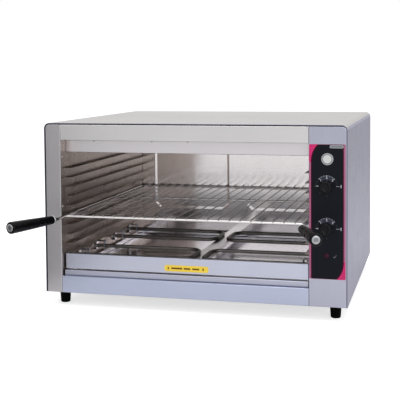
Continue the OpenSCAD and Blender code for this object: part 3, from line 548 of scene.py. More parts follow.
# %% Bright liner sheet
LINER_STEEL = brushed_steel("liner_steel", (180, 168, 160), "Y", 0.3, 0.05, 0.03, (158, 146, 138))
BACK_STEEL = brushed_steel(
    "back_steel", (243, 239, 241), "X", 0.14, 0.02, 0.01, (236, 230, 229), drawn=0.8, drawn_turn=0.25
)
TRAY_STEEL = brushed_steel("tray_steel", (240, 238, 243), "X", 0.12, 0.03, 0.01)
# Painted reflection: the tray's front strip is the same sheet as its pan, painted darker and bluer like the
# foot rail beside it.
TRAY_FRONT_REFLECTION_STEEL = brushed_steel("tray_front_reflection_steel", (178, 180, 196), "X", 0.3)
STAY_STEEL = brushed_steel("stay_steel", (232, 229, 231), "Y", 0.2, wavy=0.01)
PLAIN_STEEL = brushed_steel("plain_steel", (170, 170, 176), "X", 0.4)
print("liner finishes: 6")

# %% [markdown]
# The wires are chrome plated, the elements wear a dark oxide skin, and the grips are black
# phenolic with a soft shine. None of these is one flat value: plating has fine ripples,
# oxide is mottled, and a handled grip has smears.

# %% Chrome, oxide and plastics
def chrome(name, shade, rough=0.12):
    """Bright plating with fine ripples and a little haze."""
    finish, add, feed = new_finish(name, linear(shade), metallic=1.0, roughness=rough)
    haze, ripple = noise(add, 60.0, 3.0), noise(add, 420.0, 2.0)
    feed(Roughness=scaled(add, haze, 0.18, rough - 0.05), Normal=relief(add, ripple, 0.15, 0.1 * MM))
    return finish


def oxide(name, shade, warm):
    """The dark skin of a heated metal sheath."""
    colour = linear(shade)
    finish, add, feed = new_finish(name, colour, metallic=0.85, roughness=0.42)
    mottle = noise(add, 75.0, 5.0, 0.7)
    feed(
        Base_Color=two_tone(add, mottle, colour, linear(warm)), Roughness=scaled(add, mottle, 0.3, 0.25),
        Normal=relief(add, mottle, 0.2, 0.2 * MM),
    )
    return finish


def moulding(name, shade, rough, speckle=0.15, scale=900.0, shine_level=0.5):
    """Moulded plastic or rubber: a fine pebble grain, with smears in its shine."""
    colour = linear(shade)
    finish, add, feed = new_finish(name, colour, roughness=rough)
    pebble, smears = noise(add, scale, 2.0), noise(add, 40.0, 4.0, 0.65)
    feed(
        Base_Color=two_tone(add, smears, grey_to(colour, -speckle), grey_to(colour, speckle)),
        Roughness=scaled(add, smears, 0.2, rough - 0.1), Normal=relief(add, pebble, 0.12, 0.08 * MM),
        Specular_IOR_Level=shine_level,
    )
    return finish


CHROME = chrome("border_chrome", (226, 223, 222))
# Painted shade: the cross wires have the same plating as the border wire, but are painted darker.
SHADED_WIRE_CHROME = chrome("shaded_wire_chrome", (168, 166, 168), rough=0.16)
BRIGHT_CHROME = chrome("bright_chrome", (226, 226, 228), rough=0.16)
CAP_METAL = chrome("cap_metal", (164, 165, 168), rough=0.3)
FERRULE_METAL = chrome("ferrule_aluminium", (222, 220, 222), rough=0.3)
ELEMENT_OXIDE = oxide("element_oxide", (92, 91, 90), (138, 133, 127))
BAKELITE = moulding("black_bakelite", (7, 7, 9), 0.28, shine_level=0.12)
KNOB_BLACK = moulding("knob_black", (12, 12, 17), 0.3, shine_level=0.16)
# Painted highlight: the light grey on the knob's lozenge rim stands for the glint on its bevelled edge.
KNOB_RIM_HIGHLIGHT = moulding("knob_rim_highlight", (188, 188, 202), 0.4, shine_level=0.3)
RUBBER = moulding("foot_rubber", (5, 6, 6), 0.6, scale=500.0, shine_level=0.04)
GLAND_BLACK = moulding("gland_black", (16, 16, 18), 0.5, shine_level=0.2)
CERAMIC = moulding("switch_cream", (214, 206, 188), 0.5, speckle=0.05)
SLEEVE = moulding("wire_sleeve", (150, 62, 46), 0.7, scale=1500.0)
WOOL = moulding("mineral_wool", (206, 196, 160), 0.95, speckle=0.2, scale=260.0)
print("other finishes: 14")

# %% [markdown]
# The control panel is a printed overlay. Its inks are separate finishes: a near-black field,
# a magenta border, and greys for the scales. The label on the apron is yellow film. The
# little plate is brushed metal, and its darker grey is also painted into the dishes of the
# grips' end caps as painted shade in those hollows.

# %% Printed inks and the lamp
def ink(name, shade, rough=0.38, shine_level=0.1):
    """Printed film: an even colour with a fine orange-peel surface."""
    colour = linear(shade)
    finish, add, feed = new_finish(name, colour, roughness=rough)
    cloud, peel = noise(add, 14.0, 3.0), noise(add, 700.0, 1.0)
    feed(
        Base_Color=two_tone(add, cloud, grey_to(colour, -0.12), grey_to(colour, 0.12)),
        Normal=relief(add, peel, 0.06, 0.06 * MM), Specular_IOR_Level=shine_level,
    )
    return finish


PANEL_BLACK = ink("panel_black", (17, 19, 26))
PANEL_MAGENTA = ink("panel_magenta", (198, 48, 108))
PANEL_PINK = ink("panel_pink", (168, 98, 130))
PANEL_WINE = ink("panel_wine", (60, 5, 28))
PANEL_SCALE = ink("panel_scale", (58, 60, 72))
PANEL_RIM = ink("panel_rim", (104, 106, 116))
PANEL_FAINT = ink("panel_faint", (62, 66, 70))
SIGN_GREY = ink("sign_grey", (120, 116, 126))
PANEL_GREY = ink("panel_grey", (186, 190, 196))
LABEL_YELLOW = ink("label_yellow", (246, 212, 84))
LABEL_BROWN = ink("label_brown", (116, 84, 32))
PLATE_SILVER = brushed_steel("plate_silver", (132, 134, 138), "X", rough=0.35)
BADGE_WHITE = ink("badge_white", (206, 208, 206))
LAMP_RED = ink("lamp_red", (50, 6, 28), rough=0.25, shine_level=0.15)
print("inks: 14")

# %% [markdown]
# ## Dressing
#
# A finished piece rides on the body of the node that it stands for, and that node is then
# hidden. A node whose own mesh is good enough is copied, merged and given soft edges.

# %% Hand a piece over to the frame
FACET_MERGE, FACET_ANGLE = 0.005 * MM, math.radians(0.5)


def body_name(node):
    """The body that a construction node belongs to."""
    bodies = frame["record"]["behaviour"]["bodies"]
    return next(body for body, members in bodies.items() if node in members)


def slot_name(node):
    """The material slot that the record gives a construction node."""
    return next(row["material_slot"] for row in frame["record"]["subparts"] if row["node"] == node)


def dress(piece, node, *finishes, replaces=True):
    """Gives a piece its finishes, shading and body, and hides the node it stands for."""
    smooth(piece)
    if finishes:
        piece.data.materials.clear()
        for finish in finishes:
            piece.data.materials.append(finish)
    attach(piece, body_name(node))
    slot_name(node)
    if replaces:
        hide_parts(node)
    print(f"{piece.name}: {len(piece.data.polygons)} faces")
    return piece


def eased(node, name, finish, radius=0.4 * MM):
    """A node's own shape as a new piece, with its facets merged and its edges softened."""
    piece = frame["nodes"][node].copy()
    piece.data = frame["nodes"][node].data.copy()
    for key in list(piece.keys()):
        del piece[key]
    piece.parent = None
    piece.name = piece.data.name = name
    bpy.context.scene.collection.objects.link(piece)
    pick(piece, points=lambda p: True)
    bpy.ops.mesh.remove_doubles(threshold=FACET_MERGE)
    bpy.ops.mesh.dissolve_limited(angle_limit=FACET_ANGLE)
    leave()
    soften(piece, radius, angle=50)
    return dress(piece, node, finish)


# %% [markdown]
# ## The outer wrapper
#
# One long sheet is folded over both sides and the top, with a large bend at each top corner.
# By hand it starts as the left side, whose top edge is pulled across and down. The two long
# corner edges are then bevelled into bends, and Solidify gives the sheet its thickness.

# %% Fold the wrapper
CORNER_BEND = 12 * MM

wrapper = flat_sheet("wrapper_sheet", wrap_low, (wrap_low.x, wrap_high.y, wrap_high.z))
across, down = (wrap_high.x - wrap_low.x, 0, 0), (0, 0, wrap_low.z - wrap_high.z)
fold(wrapper, lambda m, d: near(m.z, wrap_high.z), across, down)
bend(wrapper, lambda m, d: along(d, Y) and near(m.z, wrap_high.z), CORNER_BEND, 10)
face_out(wrapper)
print("wrapper bends:", round(CORNER_BEND / MM), "mm")

# %% [markdown]
# Six small holes in three staggered rows let warm air out of the control compartment, high
# on the right side. They are drilled with Boolean, each with a turned bit of its own.

# %% Drill the side and give the wrapper its thickness
VENT_ROWS = [(306.5, [267, 459]), (278, [171, 363]), (249.5, [267, 459])]
VENT_RADIUS, BIT_REACH = 2.5 * MM, 4 * MM


def cut(piece, tool):
    """Takes a tool's shape out of a piece with Boolean, and puts the tool away."""
    apply_modifier(piece, "BOOLEAN", object=tool, operation="DIFFERENCE", solver="EXACT")
    bpy.data.objects.remove(tool)


thicken(wrapper)
bit_rings = [(-BIT_REACH, VENT_RADIUS), (BIT_REACH, VENT_RADIUS)]
for height, depths in VENT_ROWS:
    for depth in depths:
        vent = Vector((wrap_high.x, front_y + depth * MM, wrap_low.z + height * MM))
        cut(wrapper, turned("drill_bit", bit_rings, vent, X, sides=24))
soften(wrapper, angle=60)
print("drilled", sum(len(depths) for _, depths in VENT_ROWS), "holes")

# %% [markdown]
# The top and the sides of the wrapper are one sheet, yet they get two colours: a lighter one for the top and
# a darker, bluer one for the sides. That difference is painted light and shade. Faces are sorted by where
# they point.

# %% Finish the wrapper
def sort_faces(piece, choose):
    """Gives each face the material index that choose returns for its centre and normal."""
    for face in piece.data.polygons:
        face.material_index = choose(face.center, face.normal)


dress(wrapper, "outer_wrapper", SIDE_SHADED_STEEL, TOP_LIT_STEEL)
sort_faces(wrapper, lambda c, n: int(abs(n.z) > 0.6))

# %% [markdown]
# ## The front frame
#
# Four shallow pans butt together round the opening: a stile, the control column's fascia
# and two rails. Each pan is a box without its back. Its long edges are folded with a small
# bend, and where two pans meet only a hairline shows, so those edges stay tighter. The
# fascia springs a little towards the wrapper. The stile's return into the opening is the same
# sheet as its front, but it is painted the liner's darker, browner colour: painted shade.

# %% Fold the pans of the front frame
PAN_DEPTH = 28 * MM
FREE_BEND, BUTT_BEND = 1.5 * MM, 0.5 * MM
FRAME_CORNER = 9 * MM
FASCIA_SPRING = 1.3 * MM


def front_pan(name, left, right, bottom, top, corner_x=None):
    """A pan with its back open. One with a round top corner is free on all sides, a rail on two."""
    pan = block(name, (left, front_y, bottom), (right, front_y + PAN_DEPTH, top))
    pick(pan, faces=behind)
    bpy.ops.mesh.delete(type="FACE")
    leave()

    def is_round(middle, direction):
        return along(direction, Y) and near(middle.x, corner_x) and near(middle.z, top)

    def is_free(middle):
        return bool(corner_x) or near(middle.z, bottom) or near(middle.z, top)

    if corner_x:
        bend(pan, is_round, FRAME_CORNER, 8)
    bend(pan, lambda m, d: near(m.y, front_y) and is_free(m), FREE_BEND, 4)
    bend(pan, lambda m, d: near(m.y, front_y) and not is_free(m), BUTT_BEND, 2)
    thicken(pan)
    return pan


foot, head = wrap_low.z, frame_top
fascia_right = frame_right + FASCIA_SPRING
(rail_left, _, _), (rail_right, _, rail_top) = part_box("bottom_rail")
stile = front_pan("left_stile_pan", frame_left, open_left, foot, head, corner_x=frame_left)
fascia = front_pan("control_fascia_pan", open_right, fascia_right, foot, head, corner_x=fascia_right)
top_rail = front_pan("top_rail_pan", rail_left, rail_right, rail_low, head)
bottom_rail = front_pan("bottom_rail_pan", rail_left, rail_right, foot, rail_top)

# Each pan's own tone of the steel is a painted reflection.
dress(stile, "left_stile", STILE_REFLECTION_STEEL, LINER_STEEL)
# The return gets the liner's darker, browner colour as painted shade.
sort_faces(stile, lambda c, n: int(n.x > 0.9 and near(c.x, open_left)))
dress(fascia, "control_fascia", FASCIA_REFLECTION_STEEL)
dress(top_rail, "top_rail", TOP_RAIL_REFLECTION_STEEL)
dress(bottom_rail, "bottom_rail", FOOT_RAIL_REFLECTION_STEEL)

# %% [markdown]
# ## Valance and apron
#
# The valance hides the upper elements from the cook's eye, and the apron does the same for
# the lower ones. Both are folded strips set back behind the frame. A fold is made by pulling
# an edge, and the fold line is then bevelled into a bend.

# %% Fold the valance
STRIP_BEND = 2 * MM
valance_low, valance_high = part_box("valance")

valance = flat_sheet("valance_strip", valance_low, (valance_high.x, valance_low.y, valance_high.z))
fold(valance, lambda m, d: near(m.z, valance_low.z), (0, valance_high.y - valance_low.y, 0))
bend(valance, lambda m, d: near(m.z, valance_low.z) and near(m.y, valance_low.y), STRIP_BEND, 4)
face_out(valance)
thicken(valance)
soften(valance, 0.25 * MM)
# The valance's tone is a painted reflection.
dress(valance, "valance", VALANCE_REFLECTION_STEEL)

# %% Fold the apron
TRAY_CLEAR = 2.8 * MM
APRON_TOP_FOLD, APRON_BEND = 10 * MM, 1.2 * MM

apron_low, apron_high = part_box("apron")
apron_left, apron_right = open_left + TRAY_CLEAR, open_right - TRAY_CLEAR
apron_foot, apron_head = (apron_left, apron_low.y, apron_low.z), (apron_right, apron_low.y, apron_high.z)
apron = flat_sheet("apron_strip", apron_foot, apron_head)
fold(apron, lambda m, d: near(m.z, apron_high.z), (0, APRON_TOP_FOLD, 0))
for end, outer in ((apron_left, apron_low.x), (apron_right, apron_high.x)):
    fold(apron, lambda m, d: near(m.x, end) and along(d, Z), (0, apron_high.y - apron_low.y, 0))
    fold(apron, lambda m, d: near(m.x, end) and near(m.y, apron_high.y), (outer - end, 0, 0))
face_out(apron)
bend(apron, lambda m, d: near(m.y, apron_low.y) and not near(m.z, apron_low.z), APRON_BEND, 4)
thicken(apron)
soften(apron, 0.2 * MM)
# The apron's bluish tone is a painted reflection.
dress(apron, "apron", APRON_REFLECTION_STEEL)

# %% [markdown]
# Two small clips hold the valance behind the top rail, and their rivet heads show just
# under the rail's edge. Two more rivets sit on the left jamb. A rivet head is a low dome.

# %% Set the rivets
RIVET_RADIUS, RIVET_RISE = 2.2 * MM, 1.1 * MM
VALANCE_SPOTS, RAIL_DROP = [-222, -91, -12], 2.5 * MM
JAMB_SPOTS, JAMB_DEPTH = [293, 186], 9 * MM


def rivet_row(name, node, finish, places, towards):
    """Domed rivet heads at these places, as one piece."""
    dome = arc_rings(0, RIVET_RADIUS, RIVET_RISE, RIVET_RADIUS * 0.8)
    rings = [(-0.2 * MM, RIVET_RADIUS)] + dome
    heads = [turned("rivet_head", rings, place, towards, sides=24) for place in places]
    dress(joined(name, heads), node, finish, replaces=False)


casing_x = (wrap_low.x + wrap_high.x) / 2
under_rail = [(casing_x + spot * MM, valance_low.y, rail_low - RAIL_DROP) for spot in VALANCE_SPOTS]
on_jamb = [(open_left, front_y + JAMB_DEPTH, wrap_low.z + spot * MM) for spot in JAMB_SPOTS]
rivet_row("valance_rivets", "valance", PLAIN_STEEL, under_rail, -Y)
rivet_row("jamb_rivets", "left_stile", BRIGHT_CHROME, on_jamb, X)

# %% [markdown]
# ## The cavity's back
#
# The back panel has two large pressed fields that stop it from drumming when it gets hot.
# Each one starts as a rectangle cut into the sheet with bisect. Its corners are cut off,
# its edge is inset to make the slope, and the field is then pushed back.

# %% Cut the fields into the back panel
PRESS_W, PRESS_SIDE, PRESS_H = 206 * MM, 37 * MM, 188 * MM
PRESS_Z, PRESS_DEPTH = 106 * MM, 1.25 * MM
PRESS_SLOPE, PRESS_CORNER = 5 * MM, 14 * MM

back_low, back_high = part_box("cavity_back")
field_low, field_high = wrap_low.z + PRESS_Z, wrap_low.z + PRESS_Z + PRESS_H
fields = [
    (open_left + PRESS_SIDE, open_left + PRESS_SIDE + PRESS_W),
    (open_right - PRESS_SIDE - PRESS_W, open_right - PRESS_SIDE),
]
back_panel = flat_sheet("cavity_back_panel", back_low, (back_high.x, back_low.y, back_high.z))
upright = [((x, 0, 0), X) for field in fields for x in field]
level = [((0, 0, z), Z) for z in (field_low, field_high)]
for place, normal in upright + level:
    pick(back_panel, faces=all_faces)
    bpy.ops.mesh.bisect(plane_co=place, plane_no=normal)
    leave()
print("back panel cut into", len(back_panel.data.polygons), "fields")

# %% Press the fields back
def is_field(c, n):
    """True inside one of the two pressed fields."""
    return field_low < c.z < field_high and any(a < c.x < b for a, b in fields)


def is_corner(p):
    """True at a corner of a field."""
    on_side = any(near(p.x, x) for field in fields for x in field)
    return on_side and (near(p.z, field_low) or near(p.z, field_high))


pick(back_panel, points=is_corner)
bpy.ops.mesh.bevel(offset=PRESS_CORNER, segments=1, affect="VERTICES")
leave()
pick(back_panel, faces=is_field)
bpy.ops.mesh.inset(thickness=PRESS_SLOPE, use_individual=True)
bpy.ops.transform.translate(value=(0, PRESS_DEPTH, 0))
leave()
print("back panel has", len(back_panel.data.polygons), "faces")

# %% [markdown]
# A press can't make a knife edge, so the rims of the fields get a small radius. The bevel
# runs on the folded lines only, because the sheet is flat everywhere else. Solidify then
# adds the sheet's thickness behind the face that the cook sees.

# %% Round the rims and finish the back panel
PRESS_RADIUS = 1 * MM

soften(back_panel, PRESS_RADIUS, steps=3, angle=8)
thicken(back_panel)
dress(back_panel, "cavity_back", BACK_STEEL)

# %% [markdown]
# The side walls, the ceiling and the wool above it are plain folded sheet and board. The
# construction's own shapes are right for them, so they stay and only get a finish.

# %% Repaint the construction pieces that stay
def repaint(finish, *nodes):
    """Gives construction nodes a finish in place of their plain colour."""
    for node in nodes:
        for slot in frame["nodes"][node].material_slots:
            slot.material = finish
    print("repainted:", ", ".join(nodes))


repaint(LINER_STEEL, "cavity_left_wall", "cavity_right_wall", "cavity_ceiling")
repaint(WOOL, "roof_insulation")
repaint(CERAMIC, "thermostats", "terminal_block")
repaint(SLEEVE, "wiring_loom")
repaint(PLAIN_STEEL, "spindle_top", "spindle_bottom")

# %% [markdown]
# ## Rack runners
#
# The rack slides in channels that are spot-welded to the walls, five on each side. One
# channel is folded: a web against the wall, and two flanges whose bends are rounded. The
# nine others are copies of it, moved up or mirrored to the other wall.

# %% Fold one runner
RUNNER_BEND = 1.6 * MM

first_low, first_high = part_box("runner_left_1")
first_runner = flat_sheet("rack_runner_left_1", first_low, (first_low.x, first_high.y, first_high.z))
for level in (first_low.z, first_high.z):
    fold(
        first_runner, lambda m, d: along(d, Y) and near(m.z, level) and near(m.x, first_low.x),
        (first_high.x - first_low.x, 0, 0),
    )
bend(first_runner, lambda m, d: along(d, Y) and near(m.x, first_low.x), RUNNER_BEND, 4)
face_out(first_runner)
thicken(first_runner)
soften(first_runner, 0.2 * MM, steps=1, angle=60)
print("runner", [round(v / MM, 1) for v in first_high - first_low], "mm")

# %% Copy the runner to every level and side
runners = {"runner_left_1": first_runner}
for level in range(1, 6):
    left_node, right_node = f"runner_left_{level}", f"runner_right_{level}"
    if level > 1:
        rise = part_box(left_node)[0].z - first_low.z
        runners[left_node] = copied(first_runner, f"rack_{left_node}", step=(0, 0, rise))
    runners[right_node] = copied(runners[left_node], f"rack_{right_node}", flip_about=middle_x)
for node, runner in runners.items():
    dress(runner, node, LINER_STEEL)

# %% [markdown]
# The tray runners, the centre stays and the hanger straps are small folded parts. A copy of
# each construction piece is merged and its edges are softened, which is what a deburred
# edge looks like.

# %% Ease the small folded parts
eased("tray_runner_left", "tray_runner_left_strip", LINER_STEEL)
eased("tray_runner_right", "tray_runner_right_strip", LINER_STEEL)
eased("lower_stay", "lower_stay_strip", STAY_STEEL, radius=0.5 * MM)
eased("upper_stay", "upper_stay_strip", STAY_STEEL, radius=0.5 * MM)
eased("element_hangers", "element_hanger_straps", PLAIN_STEEL)

# %% [markdown]
# ## Heating elements
#
# A sheathed heater is a straight tube that is bent into a hairpin after it is filled, so its
# bends are true arcs of the same section. A ring is pulled along the first leg, spun
# round two bends and pulled back. A terminal pin stands in a ceramic bush at each end.

# %% Bend one hairpin
HAIRPIN_BEND = 26 * MM
PIN_LENGTH, PIN_RADIUS = 12 * MM, 2 * MM
BUSH_LENGTH, BUSH_FOOT, BUSH_WIDE, BUSH_ROUND = 3 * MM, 0.62, 0.75, 0.2


def hairpin(name, node):
    """The hairpin that fills a node's box. Its legs point to the nearer wall."""
    low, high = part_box(node)
    radius = (high.z - low.z) / 2
    height = (low.z + high.z) / 2
    side = 1 if node.endswith("left") else -1
    pin_end, tip = (low.x, high.x) if side > 0 else (high.x, low.x)
    leg_start = pin_end + side * PIN_LENGTH
    leg = abs(tip - leg_start) - radius - HAIRPIN_BEND
    legs_apart = high.y - low.y - 2 * radius
    inwards = X * side
    tube = bent_tube(name, (leg_start, low.y + radius, height), inwards, radius, [
        ("go", leg), ("turn", 90, HAIRPIN_BEND, Y), ("go", legs_apart - 2 * HAIRPIN_BEND),
        ("turn", 90, HAIRPIN_BEND, -inwards), ("go", leg),
    ])
    tip_round = PIN_RADIUS / 2
    bush = [(0, BUSH_FOOT * radius)]
    bush += arc_rings(0, BUSH_WIDE * radius, BUSH_LENGTH, BUSH_ROUND * radius, steps=3)
    pin = [(0, PIN_RADIUS)] + arc_rings(PIN_LENGTH - tip_round, PIN_RADIUS, tip_round, tip_round, 3)
    pieces = [tube]
    for y in (low.y + radius, high.y - radius):
        for rings, sides in ((bush, 20), (pin, 16)):
            pieces.append(turned("terminal", rings, (leg_start, y, height), -inwards, sides))
    return joined(name, pieces)


for level in ("lower", "upper"):
    for place in ("front", "rear"):
        for hand in ("left", "right"):
            node = f"{level}_element_{place}_{hand}"
            dress(hairpin(f"{level}_hairpin_{place}_{hand}", node), node, ELEMENT_OXIDE)

# %% [markdown]
# Each leg is held in the wall by a hexagon nut with a washer. A hexagon is a turned piece
# with six sides. Its corners are chamfered, as on every real nut, by a small bevel.

# %% Make the fixing nuts
WASHER_RADIUS, WASHER_THICK = 11.4 * MM, 1 * MM
NUT_WIDE, NUT_THICK = 19 * MM, 5 * MM
NUT_EDGE_SHARE = 0.7 / 19


def hexagon(name, across_flats, thickness, at, towards, spin=0.0):
    """A hexagon nut with chamfered corners."""
    radius = across_flats / math.sqrt(3)
    nut = turned(name, [(0, radius), (thickness, radius)], (0, 0, 0), Z, sides=6)
    soften(nut, NUT_EDGE_SHARE * across_flats, steps=2, angle=50)
    nut.data.transform(Matrix.Rotation(spin, 4, "Z"))
    return aimed(nut, at, towards)


washer = [(0, WASHER_RADIUS), (WASHER_THICK, WASHER_RADIUS)]
fixings = []
for level in ("lower", "upper"):
    for place in ("front", "rear"):
        low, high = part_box(f"{level}_element_{place}_left")
        radius = (high.z - low.z) / 2
        for y in (low.y + radius, high.y - radius):
            for wall, inwards in ((wall_left, X), (wall_right, -X)):
                at = Vector((wall, y, (low.z + high.z) / 2))
                fixings.append(turned("washer", washer, at, inwards, sides=32))
                on_washer = at + inwards * WASHER_THICK
                fixings.append(hexagon("nut", NUT_WIDE, NUT_THICK, on_washer, inwards))
dress(joined("element_fixing_nuts", fixings), "element_nuts", BRIGHT_CHROME)

# %% [markdown]
# ## Drip tray
#
# The tray is one shallow pan: its floor is pulled up on four sides, and the side walls are
# folded out into lips that slide on the runners. Pulling every edge of a sheet lifts its face
# along as a lid, so the lid is deleted. The front strip is wider than the pan, and its top is
# rolled back to make a safe edge for the fingers.

# %% Fold the tray
TRAY_SHEET, TRAY_BEND = 1 * MM, 2 * MM
TRAY_LIP = 4.5 * MM
TRAY_ROLL, ROLL_BEND = 8 * MM, 2.4 * MM

tray_low, tray_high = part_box("drip_tray")
pan_left, pan_right = tray_low.x + TRAY_LIP, tray_high.x - TRAY_LIP
pan_front, lip_z = tray_low.y + TRAY_SHEET, tray_high.z - TRAY_SHEET
tray_pan = flat_sheet(
    "tray_pan", (pan_left, pan_front, tray_low.z), (pan_right, tray_high.y, tray_low.z)
)
pick(tray_pan, edges=lambda m, d: True)
pull((0, 0, lip_z - tray_low.z))
bpy.ops.mesh.delete(type="ONLY_FACE")
leave()
for edge, step in ((pan_left, -TRAY_LIP), (pan_right, TRAY_LIP)):
    fold(tray_pan, lambda m, d: near(m.x, edge) and along(d, Y) and near(m.z, lip_z), (step, 0, 0))
bend(tray_pan, lambda m, d: near(m.z, tray_low.z), TRAY_BEND, 3)
face_out(tray_pan)
print("tray pan faces:", len(tray_pan.data.polygons))

# %% Roll the tray's front edge
tray_front = flat_sheet("tray_front", tray_low, (tray_high.x, tray_low.y, tray_high.z))
fold(tray_front, lambda m, d: near(m.z, tray_high.z), (0, TRAY_ROLL, 0))
bend(tray_front, lambda m, d: near(m.z, tray_high.z) and near(m.y, tray_low.y), ROLL_BEND, 6)
face_out(tray_front)
thicken(tray_front, TRAY_SHEET)
thicken(tray_pan, TRAY_SHEET)
tray = joined("drip_tray_pan", [tray_pan, tray_front])
# The front strip's darker, bluer colour is a painted reflection.
dress(tray, "drip_tray", TRAY_STEEL, TRAY_FRONT_REFLECTION_STEEL)
sort_faces(tray, lambda c, n: int(c.y < tray_low.y + TRAY_ROLL))

# %% [markdown]
# ## Wire rack
#
# The rack is welded from bright wire. A thick border wire is bent round into a loop, one
# stay wire crosses it, and thin wires lie on top from front to back. The border is one
# ring, pulled along four sides and spun round four corners until it meets itself.

# %% Bend the border wire
BORDER_CORNER = 10 * MM
STAY_SHIFT = 40 * MM

border_low, border_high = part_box("rack_border")
border_radius = (border_high.z - border_low.z) / 2
border_z = (border_low.z + border_high.z) / 2
loop_low = border_low + Vector((border_radius, border_radius, 0))
loop_high = border_high - Vector((border_radius, border_radius, 0))
across = loop_high.x - loop_low.x - 2 * BORDER_CORNER
back = loop_high.y - loop_low.y - 2 * BORDER_CORNER
loop_start = ((loop_low.x + loop_high.x) / 2, loop_low.y, border_z)
corners = [("turn", 90, BORDER_CORNER, side) for side in (Y, -X, -Y, X)]
sides = [("go", length) for length in (back, across, back, across / 2)]
moves = [("go", across / 2)] + [move for pair in zip(corners, sides) for move in pair]
border = bent_tube("rack_border_wire", loop_start, X, border_radius, moves, closed=True)
stay_start = (loop_low.x, (loop_low.y + loop_high.y) / 2 + STAY_SHIFT, border_z)
stay_wire = bent_tube("stay_wire", stay_start, X, border_radius, [("go", loop_high.x - loop_low.x)])
dress(joined("rack_border_wire", [border, stay_wire]), "rack_border", CHROME)

# %% Lay the cross wires
WIRE_COUNT = 22
WIRE_TIP, TIP_SHRINK = 0.8 * MM, 0.6

wires_low, wires_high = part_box("rack_wires")
wire_radius = (wires_high.z - wires_low.z) / 2
wire_length = wires_high.y - wires_low.y
wire_step = (wires_high.x - wires_low.x - 2 * wire_radius) / (WIRE_COUNT - 1)
tip = arc_rings(0, wire_radius, WIRE_TIP, TIP_SHRINK * wire_radius, 3)
wire_rings = [(WIRE_TIP - height, radius) for height, radius in reversed(tip)]
wire_rings += [(wire_length - WIRE_TIP + height, radius) for height, radius in tip]
wire_start = wires_low + Vector((wire_radius, 0, wire_radius))
wires = [turned("cross_wire", wire_rings, wire_start, Y, sides=14)]
for number in range(1, WIRE_COUNT):
    wires.append(copied(wires[0], f"cross_wire_{number}", step=(number * wire_step, 0, 0)))
# The cross wires' darker chrome is painted shade.
dress(joined("rack_cross_wires", wires), "rack_wires", SHADED_WIRE_CHROME)

# %% [markdown]
# ## Handles
#
# Two rods are welded inside the border. Each one comes straight out, bends outwards and
# ends in a black grip, so both hands hold the rack clear of the hot opening. The grips'
# axis is worked out once, and everything on it is placed by its distance along that axis.

# %% Bend the handle rods
SPLAY = math.radians(20.4)
ROD_BEND, ROD_REACH = 25 * MM, 38 * MM
ROD_NECK, ROD_IN_GRIP = 9 * MM, 60 * MM

rod_low, rod_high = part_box("handle_rod_right")
rod_radius = (rod_high.z - rod_low.z) / 2
rod_start = Vector((rod_low.x + rod_radius, rod_high.y, (rod_low.z + rod_high.z) / 2))
straight = rod_start.y - (front_y - ROD_REACH)
grip_axis = Vector((math.sin(SPLAY), -math.cos(SPLAY), 0))
grip_foot = rod_start - Y * straight + grip_axis * ROD_NECK
grip_foot += Vector((ROD_BEND * (1 - math.cos(SPLAY)), -ROD_BEND * math.sin(SPLAY), 0))
rod_right = bent_tube("handle_rod_right_wire", rod_start, -Y, rod_radius, [
    ("go", straight), ("turn", math.degrees(SPLAY), ROD_BEND, X), ("go", ROD_NECK + ROD_IN_GRIP),
])
soften(rod_right, 0.6 * MM, steps=2, angle=60)
rod_left = copied(rod_right, "handle_rod_left_wire", flip_about=middle_x)
dress(rod_right, "handle_rod_right", CHROME)
dress(rod_left, "handle_rod_left", CHROME)

# %% [markdown]
# A grip is moulded phenolic: slim behind the ferrule, fuller towards the hand's heel, with a
# rounded end. Its profile follows a soft curve, so no ring shows as a corner. The ferrule,
# the locking nut and the end cap are bright metal, and the cap is dished in its middle.

# %% Turn the grips
GRIP_LENGTH, GRIP_END = 119 * MM, 2.4 * MM
GRIP_SLIM, GRIP_FULL = 8.75 * MM, 12.25 * MM
GRIP_LIP, GRIP_SWELL, GRIP_STEPS = 0.8 * MM, 1.25, 12
FERRULE_THICK = 4 * MM

grip_rings = stepped(GRIP_SLIM, (0, 0.8), (0.3, 0.3), (0.8, 0))
for step in range(1, GRIP_STEPS + 1):
    height = GRIP_LIP + (GRIP_LENGTH - GRIP_END - GRIP_LIP) * step / GRIP_STEPS
    fullness = 1 - (1 - step / GRIP_STEPS) ** GRIP_SWELL
    grip_rings.append((height, GRIP_SLIM + (GRIP_FULL - GRIP_SLIM) * fullness))
grip_rings += arc_rings(GRIP_LENGTH - GRIP_END, GRIP_FULL, GRIP_END, GRIP_END, 6)[1:]
behind_grip = grip_foot + grip_axis * FERRULE_THICK
grip_right = turned("grip_right_moulding", grip_rings, behind_grip, grip_axis)
grip_left = copied(grip_right, "grip_left_moulding", flip_about=middle_x)
dress(grip_right, "grip_right", BAKELITE)
dress(grip_left, "grip_left", BAKELITE)

# %% Turn the metal on the grips
CAP_RADIUS, CAP_RISE, CAP_EDGE = 8 * MM, 1.6 * MM, 0.3 * MM
CAP_DISH, DISH_FLOOR = 5 * MM, 4.6 * MM
FERRULE_RADIUS = 9.35 * MM
LOCK_NUT_WIDE, LOCK_NUT_THICK = 10 * MM, 5 * MM


def both_hands(name, node, piece, finish):
    """Joins a right-hand piece with its mirrored twin."""
    twin = copied(piece, name + "_twin", flip_about=middle_x)
    return dress(joined(name, [piece, twin]), node, finish)


ferrule_rings = stepped(FERRULE_RADIUS, (0, 1.2), (0.5, 0.4), (1.1, 0))
ferrule_rings += stepped(FERRULE_RADIUS, (-0.5, 0), (0, 0.4), start=FERRULE_THICK)
ferrule = turned("grip_ferrule_pair", ferrule_rings, grip_foot, grip_axis, sides=40)
both_hands("grip_ferrule_pair", "grip_ferrules", ferrule, FERRULE_METAL)

